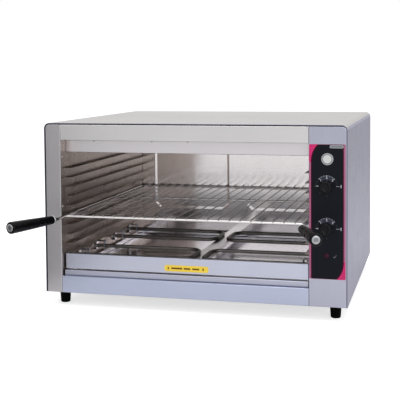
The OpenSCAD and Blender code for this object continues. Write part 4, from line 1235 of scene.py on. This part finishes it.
nut_foot = grip_foot - grip_axis * LOCK_NUT_THICK
lock_nut = hexagon("lock_nut", LOCK_NUT_WIDE, LOCK_NUT_THICK, nut_foot, grip_axis)
both_hands("grip_lock_nuts", "grip_nuts", lock_nut, BRIGHT_CHROME)

grip_end = grip_foot + grip_axis * (FERRULE_THICK + GRIP_LENGTH)
cap_rings = stepped(CAP_RADIUS, (-3, 5), (0, 5), (0, 0.3))
cap_rings += arc_rings(CAP_EDGE, CAP_RADIUS, CAP_RISE - CAP_EDGE, CAP_RADIUS - CAP_DISH, 6)
cap_rings += stepped(CAP_DISH, (-0.5, 0.5), (-0.6, 1.4), start=CAP_RISE)
end_cap = turned("grip_end_caps", cap_rings, grip_end, grip_axis, sides=40)
caps = both_hands("grip_end_caps", "grip_caps", end_cap, CAP_METAL)
# The caps' dishes get the plate's darker grey: painted shade in the hollow.
caps.data.materials.append(PLATE_SILVER)
dish_at = grip_end + grip_axis * CAP_RISE


def in_dish(centre, normal):
    """1 in the sunk middle of either cap, which gets a darker grey as painted shade, 0 elsewhere."""
    folded = Vector((middle_x + abs(centre.x - middle_x), centre.y, centre.z))
    return int((folded - dish_at).length < DISH_FLOOR)


sort_faces(caps, in_dish)

# %% [markdown]
# ## Control panel
#
# The panel is a printed film on a thin plate. The plate is pink, with two magenta corners.
# A dark line and a near-black field lie over it. Two corners of the field are swept
# away in a wide arc, which is cut with Boolean: a block with a round bite taken out of it is
# exactly the corner that has to go.

# %% Lay the panel's plate and its border
PANEL_CORNER = 2.5 * MM
LAYER = 0.08 * MM
SWEEP_WIDE, SWEEP_HIGH, SWEEP_TOOL = 13.5 * MM, 33 * MM, 5 * MM
SWEEP_RADIUS = (SWEEP_WIDE ** 2 + SWEEP_HIGH ** 2) / (2 * SWEEP_WIDE)
LINE_MARGINS = (3.7 * MM, 3.7 * MM, 0.4 * MM)
FIELD_MARGINS = (5.8 * MM, 5.7 * MM, 1.2 * MM)
PLATE_SET_BACK, FILM_SET_BACK = 3 * LAYER, 3.5 * LAYER

panel_low, panel_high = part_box("control_panel")
panel_face = panel_low.y
plate_depth = panel_high.y - panel_low.y


def rounded_plate(name, low, high, corner, finish, steps=5):
    """A thin plate facing the front, with its four corners rounded."""
    plate = block(name, low, high)
    bend(plate, lambda m, d: along(d, Y), corner, steps)
    plate.data.materials.append(finish)
    return plate


def swept_field(name, margins, front, back, finish):
    """A field inside margins, with its top-left and bottom-right corners swept away."""
    left, right = panel_low.x + margins[0], panel_high.x - margins[1]
    foot, head = panel_low.z + margins[2], panel_high.z - margins[2]
    field = rounded_plate(name, (left, front, foot), (right, back, head), PANEL_CORNER, finish)
    tool_rings = [(-SWEEP_TOOL, SWEEP_RADIUS), (SWEEP_TOOL, SWEEP_RADIUS)]
    top_left = (left + SWEEP_RADIUS, head - SWEEP_HIGH, -1)
    foot_right = (right - SWEEP_RADIUS, foot + SWEEP_HIGH, 1)
    for x, z, side in (top_left, foot_right):
        xs = sorted((x, x + side * (SWEEP_RADIUS + MM)))
        zs = sorted((z, z - side * (SWEEP_HIGH + MM)))
        bite = block("bite", (xs[0], front - MM, zs[0]), (xs[1], back + MM, zs[1]))
        cut(bite, turned("round_tool", tool_rings, (x, front, z), Y, sides=160))
        cut(field, bite)
    return field


plate_front = panel_low + Y * PLATE_SET_BACK
plate = rounded_plate("control_panel_plate", plate_front, panel_high, PANEL_CORNER, PANEL_PINK)
soften(plate, 0.12 * MM, steps=2, angle=60)
print("plate", round(plate_depth / MM, 2), "mm thick")

# %% Lay the magenta corners, the dark line and the field
MAGENTA_TOP, MAGENTA_FOOT, MAGENTA_HIGH = 20 * MM, 23 * MM, 36 * MM

magenta_face, line_face, field_face = (panel_face + share * LAYER for share in (2, 1, 0.4))
film_back = panel_face + FILM_SET_BACK
layers = [plate]
for name, low_x, high_x, low_z in (
    ("magenta_corner_top", panel_low.x, panel_low.x + MAGENTA_TOP, panel_high.z - MAGENTA_HIGH),
    ("magenta_corner_foot", panel_high.x - MAGENTA_FOOT, panel_high.x, panel_low.z),
):
    low, high = (low_x, magenta_face, low_z), (high_x, film_back, low_z + MAGENTA_HIGH)
    layers.append(rounded_plate(name, low, high, PANEL_CORNER, PANEL_MAGENTA))
layers.append(swept_field("dark_line", LINE_MARGINS, line_face, film_back, PANEL_WINE))
layers.append(swept_field("black_field", FIELD_MARGINS, field_face, film_back, PANEL_BLACK))
print("panel layers:", len(layers))

# %% [markdown]
# The scales are printed marks. A band is a ring: the edge of a circle is pulled outwards
# once, and what lies outside the scale is deleted. Every mark gets a hair of thickness, so
# that it lies on the field as a film of ink does. The numbers are text turned into a mesh.

# %% Marks that can be printed
UPRIGHT = (math.pi / 2, 0, 0)
ARC_SIDES, DOT_SIDES = 120, 32
INK_THICK, INK_STEP = 0.5 * LAYER, 0.3 * LAYER
CAPITAL_SHARE, STROKE_SHARE = 0.7, 0.05


def on_panel(x, z):
    """A point on the field's face."""
    return Vector((x, panel_face, z))


def ray(degrees):
    """A direction in the panel's plane, counted from the right and upwards."""
    return Vector((math.cos(math.radians(degrees)), 0, math.sin(math.radians(degrees))))


def inked(mark, finish):
    """Turns a mark to the front and gives it the thickness of ink."""
    if mark.data.polygons[0].normal.y > 0:
        mark.data.flip_normals()
    thicken(mark, INK_THICK)
    mark.data.materials.append(finish)
    return mark


def arc_band(name, centre, inner, outer, start, end, finish):
    """A printed arc between two angles, counted as in ray."""
    band = circle(name, ARC_SIDES, inner, centre, UPRIGHT, fill="NOTHING")
    pick(band, edges=lambda m, d: True)
    bpy.ops.mesh.extrude_region_move()
    bpy.ops.transform.resize(value=(outer / inner, 1, outer / inner), center_override=centre)
    leave()

    def outside(c, n):
        angle = math.degrees(math.atan2(c.z - centre[2], c.x - centre[0])) % 360
        return not start < angle < end

    pick(band, faces=outside)
    bpy.ops.mesh.delete(type="FACE")
    leave()
    return inked(band, finish)


def bar_mark(name, middle, wide, high, finish, turn=0.0):
    """A printed bar round a middle point, turned in the panel's plane."""
    select_only()
    bpy.ops.mesh.primitive_plane_add(size=1, location=middle, rotation=(math.pi / 2, turn, 0))
    bpy.context.object.scale = (wide, high, 1)
    return inked(named(name), finish)


def disc_mark(name, middle, radius, finish):
    """A printed dot."""
    return inked(circle(name, DOT_SIDES, radius, middle, UPRIGHT), finish)


def number_mark(name, text, middle, tall, finish):
    """A printed number."""
    select_only()
    bpy.ops.object.text_add(location=middle, rotation=UPRIGHT)
    lettering = bpy.context.object.data
    lettering.body = text
    lettering.size = tall / CAPITAL_SHARE
    lettering.offset = STROKE_SHARE * tall
    lettering.align_x, lettering.align_y = "CENTER", "CENTER"
    bpy.ops.object.convert(target="MESH")
    return inked(named(name), finish)


print("marks: arc_band, bar_mark, disc_mark, number_mark")

# %% Print both scales
SCALE_IN, SCALE_OUT, SCALE_RIM = 12.6 * MM, 22 * MM, 0.8 * MM
SCALE_FROM, SCALE_TO = 41, 139
THIN_IN, THIN_OUT, THIN_ARCS = 1.2 * MM, 0.7 * MM, ((140, 176), (8, 40))
TICK_COUNT, TICK_MARGIN, TICK_INSET = 7, 3, 1.2 * MM
LONG_TICK, SHORT_TICK = (2.2 * MM, 1.3 * MM), (1.6 * MM, 0.6 * MM)
NUMBERS_AT, NUMBERS_TALL, NUMBER_ANGLES = 16.8 * MM, 4.4 * MM, (135, 90, 45)
SIDE_MARKS = [(-18, 2.4, 2), (-21.2, 2.6, 0.8), (20.4, 1.9, 1), (24.2, 2, 1), (28.6, 1.6, 6)]
DOT_AT, DOT_RADIUS, DOT_ANGLES = 19.4 * MM, 1.1 * MM, (270, 225)

over = -Y * INK_STEP
arc = (SCALE_FROM, SCALE_TO)
tick_span = (SCALE_TO - SCALE_FROM - 2 * TICK_MARGIN) / (TICK_COUNT - 1)
knob_x = sum(corner.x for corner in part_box("knob_top")) / 2
for node in ("knob_top", "knob_bottom"):
    centre = on_panel(knob_x, sum(corner.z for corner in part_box(node)) / 2)
    layers.append(arc_band("band", centre, SCALE_IN, SCALE_OUT, *arc, PANEL_SCALE))
    layers.append(arc_band("rim", centre + over, SCALE_OUT - SCALE_RIM, SCALE_OUT, *arc, PANEL_RIM))
    for thin_arc in THIN_ARCS:
        thin = (SCALE_OUT - THIN_IN, SCALE_OUT - THIN_OUT, *thin_arc)
        layers.append(arc_band("thin_ring", centre, *thin, PANEL_FAINT))
    for number in range(TICK_COUNT):
        angle = SCALE_FROM + TICK_MARGIN + tick_span * number
        size = SHORT_TICK if number % 3 else LONG_TICK
        spot = centre + (SCALE_OUT - TICK_INSET) * ray(angle) + 2 * over
        layers.append(bar_mark("tick", spot, *size, PANEL_GREY, turn=-math.radians(angle)))
    for number, angle in enumerate(NUMBER_ANGLES, start=1):
        spot = centre + NUMBERS_AT * ray(angle) + over
        layers.append(number_mark("number", str(number), spot, NUMBERS_TALL, PANEL_GREY))
    for x, wide, high in SIDE_MARKS:
        layers.append(bar_mark("side_mark", centre + X * x * MM, wide * MM, high * MM, PANEL_GREY))
    for angle in DOT_ANGLES:
        layers.append(disc_mark("dot", centre + DOT_AT * ray(angle), DOT_RADIUS, PANEL_FAINT))
print("panel marks:", len(layers))

# %% [markdown]
# The plate and the badge at the top carry no words here. They stay as bare, well-finished
# pieces: a grey plate with a lighter rim, and a pale disc in a metal ring, with a darker line
# between the two. The ring, the line and the disc are one turned profile.

# %% Set the bare plate and badge
PLATE_LEFT, PLATE_RIGHT = 289.7 * MM, 316.9 * MM
PLATE_FOOT, PLATE_HEAD = 321 * MM, 327 * MM
PLATE_PROUD, PLATE_CORNER, PLATE_RIM, PLATE_SUNK = 0.2 * MM, 2.6 * MM, 0.8 * MM, 0.12 * MM
BADGE_RADIUS, BADGE_X, BADGE_DROP = 12 * MM, 284.7 * MM, 29.6 * MM
BADGE_LINE, BADGE_DISC = 9.7 * MM, 8.4 * MM

plate_low = (casing_x + PLATE_LEFT, panel_face - PLATE_PROUD, wrap_low.z + PLATE_FOOT)
plate_high = (casing_x + PLATE_RIGHT, panel_face + LAYER, wrap_low.z + PLATE_HEAD)
name_plate = rounded_plate("bare_plate", plate_low, plate_high, PLATE_CORNER, PANEL_GREY, steps=6)
pick(name_plate, faces=in_front)
bpy.ops.mesh.inset(thickness=PLATE_RIM)
bpy.ops.transform.translate(value=(0, PLATE_SUNK, 0))
leave()
name_plate.data.materials.append(PLATE_SILVER)
plate_y = plate_low[1] + PLATE_SUNK
sort_faces(name_plate, lambda c, n: int(in_front(c, n) and near(c.y, plate_y)))

badge_at = on_panel(casing_x + BADGE_X, panel_high.z - BADGE_DROP)
badge_rings = stepped(BADGE_RADIUS, (0, 0), (0.25, 0.1), (0.45, 0.6), (0.45, 2.2))
badge_rings += stepped(BADGE_RADIUS, (0.28, 2.5), (0.28, 3.5), (0.38, 3.7))
badge = turned("bare_badge", badge_rings, badge_at, -Y, sides=64)
for finish in (CAP_METAL, PANEL_RIM, BADGE_WHITE):
    badge.data.materials.append(finish)


def badge_part(centre, normal):
    """0 on the badge's ring, 1 on the line inside it and 2 on its disc."""
    reach = math.hypot(centre.x - badge_at.x, centre.z - badge_at.z)
    return (reach < BADGE_LINE) + (reach < BADGE_DISC)


sort_faces(badge, badge_part)
layers += [name_plate, badge]
for layer in layers:
    smooth(layer)
dress(joined("control_panel_film", layers), "control_panel")

# %% [markdown]
# ## Knobs
#
# A cooker knob of this kind has a thin skirt, a straight body and a raised lozenge on its
# face that shows where it is set. The skirt and the body are turned as one profile. The
# lozenge is a circle of four points, stretched, with its tips cut off by a point bevel.
# The lozenge's front rim is painted light grey: a painted highlight for the glint on its bevelled edge.

# %% Turn one knob
SKIRT_TOP, SKIRT_ROUND = 2.6 * MM, 1.2 * MM
BODY_SHARE, FACE_ROUND = 0.9, 2.4 * MM
LOZENGE_WIDE, LOZENGE_TALL, LOZENGE_RISE = 11.5 * MM, 16.5 * MM, 3.5 * MM

knob_low, knob_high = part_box("knob_top")
knob_radius = (knob_high.x - knob_low.x) / 2
knob_height = knob_high.y - knob_low.y
knob_back = Vector((knob_x, knob_high.y, (knob_low.z + knob_high.z) / 2))
body_radius = BODY_SHARE * knob_radius
face_height = knob_height - LOZENGE_RISE
face_edge = body_radius - 0.5 * MM

knob_rings = stepped(knob_radius, (0, 0.4), (0.4, 0))
knob_rings += arc_rings(SKIRT_TOP, knob_radius, SKIRT_ROUND, 0.9 * MM, 4)
knob_rings += stepped(body_radius, (4.4, -0.3), (5.2, 0))
knob_rings += arc_rings(face_height - FACE_ROUND, face_edge, FACE_ROUND, 1.9 * MM, 6)
knob_rings += stepped(body_radius, (-0.5, 3.6), start=face_height)
knob_body = turned("knob_body", knob_rings, knob_back, -Y, sides=72)
print("knob radius", round(knob_radius / MM, 1), "height", round(knob_height / MM, 1))

# %% Raise its lozenge
TIP_CUT = 0.16
LOZENGE_RIM, RECESS = 1.5 * MM, 0.8 * MM

lozenge_foot = knob_back - Y * (face_height - MM)
select_only()
bpy.ops.mesh.primitive_circle_add(
    vertices=4, radius=1, fill_type="NGON", location=lozenge_foot, rotation=UPRIGHT
)
bpy.context.object.scale = ((1 + TIP_CUT) * LOZENGE_WIDE / 2, (1 + TIP_CUT) * LOZENGE_TALL / 2, 1)
lozenge = named("knob_lozenge")
pick(lozenge, points=lambda p: True)
tip_share = 100 * TIP_CUT / (1 + TIP_CUT)
bpy.ops.mesh.bevel(offset_type="PERCENT", offset_pct=tip_share, affect="VERTICES")
leave()
pick(lozenge, faces=all_faces)
pull(-Y * (LOZENGE_RISE + MM))
leave()
face_out(lozenge)
pick(lozenge, faces=in_front)
bpy.ops.mesh.inset(thickness=LOZENGE_RIM)
bpy.ops.transform.translate(value=(0, RECESS, 0))
leave()
soften(lozenge, angle=25)
print("lozenge faces:", len(lozenge.data.polygons))

# %% Finish both knobs
top_knob = joined("thermostat_knob_top", [knob_body, lozenge])
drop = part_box("knob_bottom")[0].z - knob_low.z
low_knob = copied(top_knob, "thermostat_knob_bottom", step=(0, 0, drop))
for knob, node in ((top_knob, "knob_top"), (low_knob, "knob_bottom")):
    dress(knob, node, KNOB_BLACK, KNOB_RIM_HIGHLIGHT)
    # The lozenge's front rim gets the painted highlight.
    sort_faces(knob, lambda c, n: int(in_front(c, n) and near(c.y, knob_low.y)))

# %% [markdown]
# ## Indicator lamp
#
# The lamp is a small domed lens in a black bezel. It isn't lit, so its red is nearly black,
# with a soft highlight. A small pictogram stands beside it.

# %% Turn the lamp's lens and bezel
LENS_RADIUS, BEZEL_RADIUS, HOLDER_RADIUS = 5.2 * MM, 6 * MM, 4.3 * MM
LENS_FOOT, LENS_EDGE, LENS_SHRINK = 0.6 * MM, 0.2 * MM, 0.86

lamp_low, lamp_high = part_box("indicator_lamp")
lamp_at = on_panel((lamp_low.x + lamp_high.x) / 2, (lamp_low.z + lamp_high.z) / 2)
dome_rise = panel_face - lamp_low.y - LENS_FOOT - LENS_EDGE
lens_dome = arc_rings(LENS_FOOT, LENS_RADIUS, dome_rise, LENS_SHRINK * LENS_RADIUS, 8)
lens = turned("lamp_lens", [(0, LENS_RADIUS)] + lens_dome, lamp_at, -Y, sides=40)
bezel_rings = stepped(BEZEL_RADIUS, (0, 0), (0.8, 0), (1.2, 0.3))
bezel_rings += stepped(LENS_RADIUS, (1.2, -0.1), (0.3, 0))
bezel = turned("lamp_bezel", bezel_rings, lamp_at, -Y, sides=40)
holder_rings = stepped(HOLDER_RADIUS, (0, 0), (24, 0), (25, 0.7))
holder = turned("lamp_holder", holder_rings, lamp_at + Y * plate_depth, Y, sides=32)
dress(lens, "indicator_lamp", LAMP_RED)
dress(joined("indicator_lamp_holder", [bezel, holder]), "indicator_lamp", GLAND_BLACK, replaces=False)

# %% Print the lamp's pictogram
SIGN_X, SIGN_DROP, SIGN_STROKE = 300 * MM, 2.2 * MM, 1.1 * MM
SIGN_STEM, SIGN_FOOT = (0, 0, 4.4, 38), (-2.1, -0.2, 3, -30)
SIGN_DOT, SIGN_DOT_RADIUS = Vector((2.2, 0, 3)) * MM, 0.8 * MM

sign_at = on_panel(casing_x + SIGN_X, lamp_at.z - SIGN_DROP)
sign = []
for x, z, high, degrees in (SIGN_STEM, SIGN_FOOT):
    spot = sign_at + Vector((x, 0, z)) * MM
    sign.append(bar_mark("sign_bar", spot, SIGN_STROKE, high * MM, SIGN_GREY, math.radians(degrees)))
sign.append(disc_mark("sign_dot", sign_at + SIGN_DOT, SIGN_DOT_RADIUS, SIGN_GREY))
dress(joined("lamp_pictogram", sign), "control_panel", replaces=False)

# %% [markdown]
# ## Apron label
#
# A yellow film on the apron marks where the tray slides out. It carries no words here: three
# plain bars in a row stand in their place, with a small mark at each end.

# %% Stick the label on the apron
LABEL_WIDE, LABEL_HIGH, LABEL_CORNER = 96 * MM, 13.6 * MM, 5 * MM
LABEL_X, LABEL_Z, BARS_PROUD = -13 * MM, 60.8 * MM, 1.4 * LAYER
LABEL_BARS = [(-21, 24, 3.6), (1.5, 14, 3.6), (20.5, 15, 3.6), (-39.5, 3, 5), (36.5, 3, 5)]

label_at = Vector((casing_x + LABEL_X, apron_low.y, wrap_low.z + LABEL_Z))
reach = Vector((LABEL_WIDE / 2, LAYER, LABEL_HIGH / 2))
label = [rounded_plate("label_film", label_at - reach, label_at + reach, LABEL_CORNER, LABEL_YELLOW)]
for x, wide, high in LABEL_BARS:
    spot = label_at + X * x * MM - Y * BARS_PROUD
    label.append(bar_mark("label_bar", spot, wide * MM, high * MM, LABEL_BROWN))
dress(joined("apron_label", label), "apron", replaces=False)

# %% [markdown]
# ## Base, feet and rear
#
# The machine stands on four ribbed rubber feet. The rear cover, its screws, the base pan and
# the cable gland are copies of the construction pieces with softened edges.

# %% Turn the feet
FOOT_RADIUS, FOOT_FOOT, GROOVES = 12.25 * MM, 10.5 * MM, (10 * MM, 17 * MM)
STUD_RADIUS, STUD_NUT_WIDE, STUD_NUT_THICK = 3 * MM, 9.6 * MM, 4.2 * MM

foot_low, foot_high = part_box("feet")
foot_tall, stud_tall = wrap_low.z - foot_low.z, foot_high.z - foot_low.z
foot_rings = stepped(FOOT_FOOT, (0, 6.5), (0, 2.4), (0.5, 1.2), (1.6, 0.3), (3, 0))
for groove in GROOVES:
    radius = FOOT_FOOT + (FOOT_RADIUS - FOOT_FOOT) * groove / foot_tall
    foot_rings += stepped(radius, (-0.9, 0.1), (-0.5, 0.8), (0.5, 0.8), (0.9, 0), start=groove)
foot_rings += stepped(FOOT_RADIUS, (-4, 0), (-0.8, 0), (0, 0.6), start=foot_tall)
stud_rings = [(foot_tall - MM, STUD_RADIUS)] + stepped(STUD_RADIUS, (-0.5, 0), (0, 0.5), start=stud_tall)
feet, studs = [], []
for x in (foot_low.x + FOOT_RADIUS, foot_high.x - FOOT_RADIUS):
    for y in (foot_low.y + FOOT_RADIUS, foot_high.y - FOOT_RADIUS):
        spot = Vector((x, y, foot_low.z))
        on_base = spot + Z * (foot_tall + SHEET)
        feet.append(turned("foot", foot_rings, spot, Z, sides=40))
        studs.append(turned("stud", stud_rings, spot, Z, sides=20))
        studs.append(hexagon("stud_nut", STUD_NUT_WIDE, STUD_NUT_THICK, on_base, Z, spin=math.pi / 6))
dress(joined("rubber_feet", feet), "feet", RUBBER)
dress(joined("foot_studs", studs), "feet", PLAIN_STEEL, replaces=False)

# %% Ease the base and the rear pieces
eased("base_pan", "base_pan_sheet", PLAIN_STEEL)
# The rear cover takes the sides' colour, painted shade included.
eased("rear_cover", "rear_cover_sheet", SIDE_SHADED_STEEL, radius=0.3 * MM)
eased("rear_screws", "rear_cover_screws", BRIGHT_CHROME, radius=0.2 * MM)
eased("cable_gland", "cable_gland_moulding", GLAND_BLACK, radius=0.5 * MM)

# %% [markdown]
# ## Studio
#
# The floor is white and keeps the machine's soft shadow. The world shows plain white to the
# camera and in reflections, and lights the scene more gently than that. Polished steel shows
# whatever stands before it, so a photographer sets up grey cards. Here one stands at the
# front left and one lies on the floor beside it. Only reflections see them, and they darken
# the left of the front a little.

# %% Lay the floor and set up the cards
FLOOR_WHITE, FLOOR_REACH = 0.86, 20
LIFT_SEEN, LIFT_MIRRORED = 0.62, 0.15
CARD_GREY = 0.3
CARD_LEFT, CARD_RIGHT, CARD_Y, CARD_TOP = -2.4, -0.7, -1.1, 0.44
LYING_RIGHT, LYING_FRONT = -0.4, -0.24


def kinds_of_ray(add):
    """Two patterns: 1 for the camera's own rays, and 1 for rays that a mirror or glass sends on."""
    glossy, through = (add("LightPath", out=f"Is {kind} Ray") for kind in ("Glossy", "Transmission"))
    return add("LightPath", out="Is Camera Ray"), add("Math", {"operation": "MAXIMUM"}, _0=glossy, _1=through)


floor_finish, add, feed = new_finish("studio_floor", (FLOOR_WHITE,) * 3, roughness=0.9)
straight_rays, bent_rays = kinds_of_ray(add)
lift = scaled(add, straight_rays, LIFT_SEEN, scaled(add, bent_rays, LIFT_MIRRORED, 0))
feed(Emission_Strength=lift, Emission_Color=(1, 1, 1, 1), Specular_IOR_Level=0)
floor_corner = Vector((FLOOR_REACH, FLOOR_REACH, cad_low.z))
floor = flat_sheet("studio_floor", (-FLOOR_REACH, -FLOOR_REACH, cad_low.z), floor_corner)
floor.data.materials.append(floor_finish)

card_corner = (CARD_LEFT, CARD_Y, cad_low.z + MM)
standing = flat_sheet("standing_card", card_corner, (CARD_RIGHT, CARD_Y, CARD_TOP))
lying = flat_sheet("lying_card", card_corner, (LYING_RIGHT, LYING_FRONT, cad_low.z + MM))
card_finish = new_finish("grey_card", (CARD_GREY,) * 3, roughness=1)[0]
for card in (standing, lying):
    card.data.materials.append(card_finish)
    card.visible_camera = card.visible_diffuse = card.visible_shadow = False
print("floor at z =", round(cad_low.z, 4))

# %% Light the scene
WORLD_LIGHT = 0.62
LIT_POINT = Vector((0, 0, 0.2))
SOFT_LAMPS = [
    ("top_lamp", (0.3, -0.6, 3.2), 2.6, 45),
    ("right_front_lamp", (2.0, -2.6, 1.4), 1.8, 25),
]

for name, at, size, power in SOFT_LAMPS:
    lamp = bpy.data.objects.new(name, bpy.data.lights.new(name, "AREA"))
    bpy.context.scene.collection.objects.link(lamp)
    lamp.data.size, lamp.data.energy = size, power
    lamp.location = at
    lamp.rotation_euler = (LIT_POINT - Vector(at)).to_track_quat("-Z", "Y").to_euler()

world = bpy.data.worlds.new("studio")
bpy.context.scene.world = world
world.use_nodes = True
add = wiring(world.node_tree)
straight_rays, bent_rays = kinds_of_ray(add)
seen = add("Math", {"operation": "MAXIMUM"}, _0=straight_rays, _1=bent_rays)
sky = {"Color": (1, 1, 1, 1), "Strength": scaled(add, seen, 1 - WORLD_LIGHT, WORLD_LIGHT)}
plug(world.node_tree, world.node_tree.nodes["Background"], sky)
bpy.context.scene.view_settings.view_transform = "Standard"
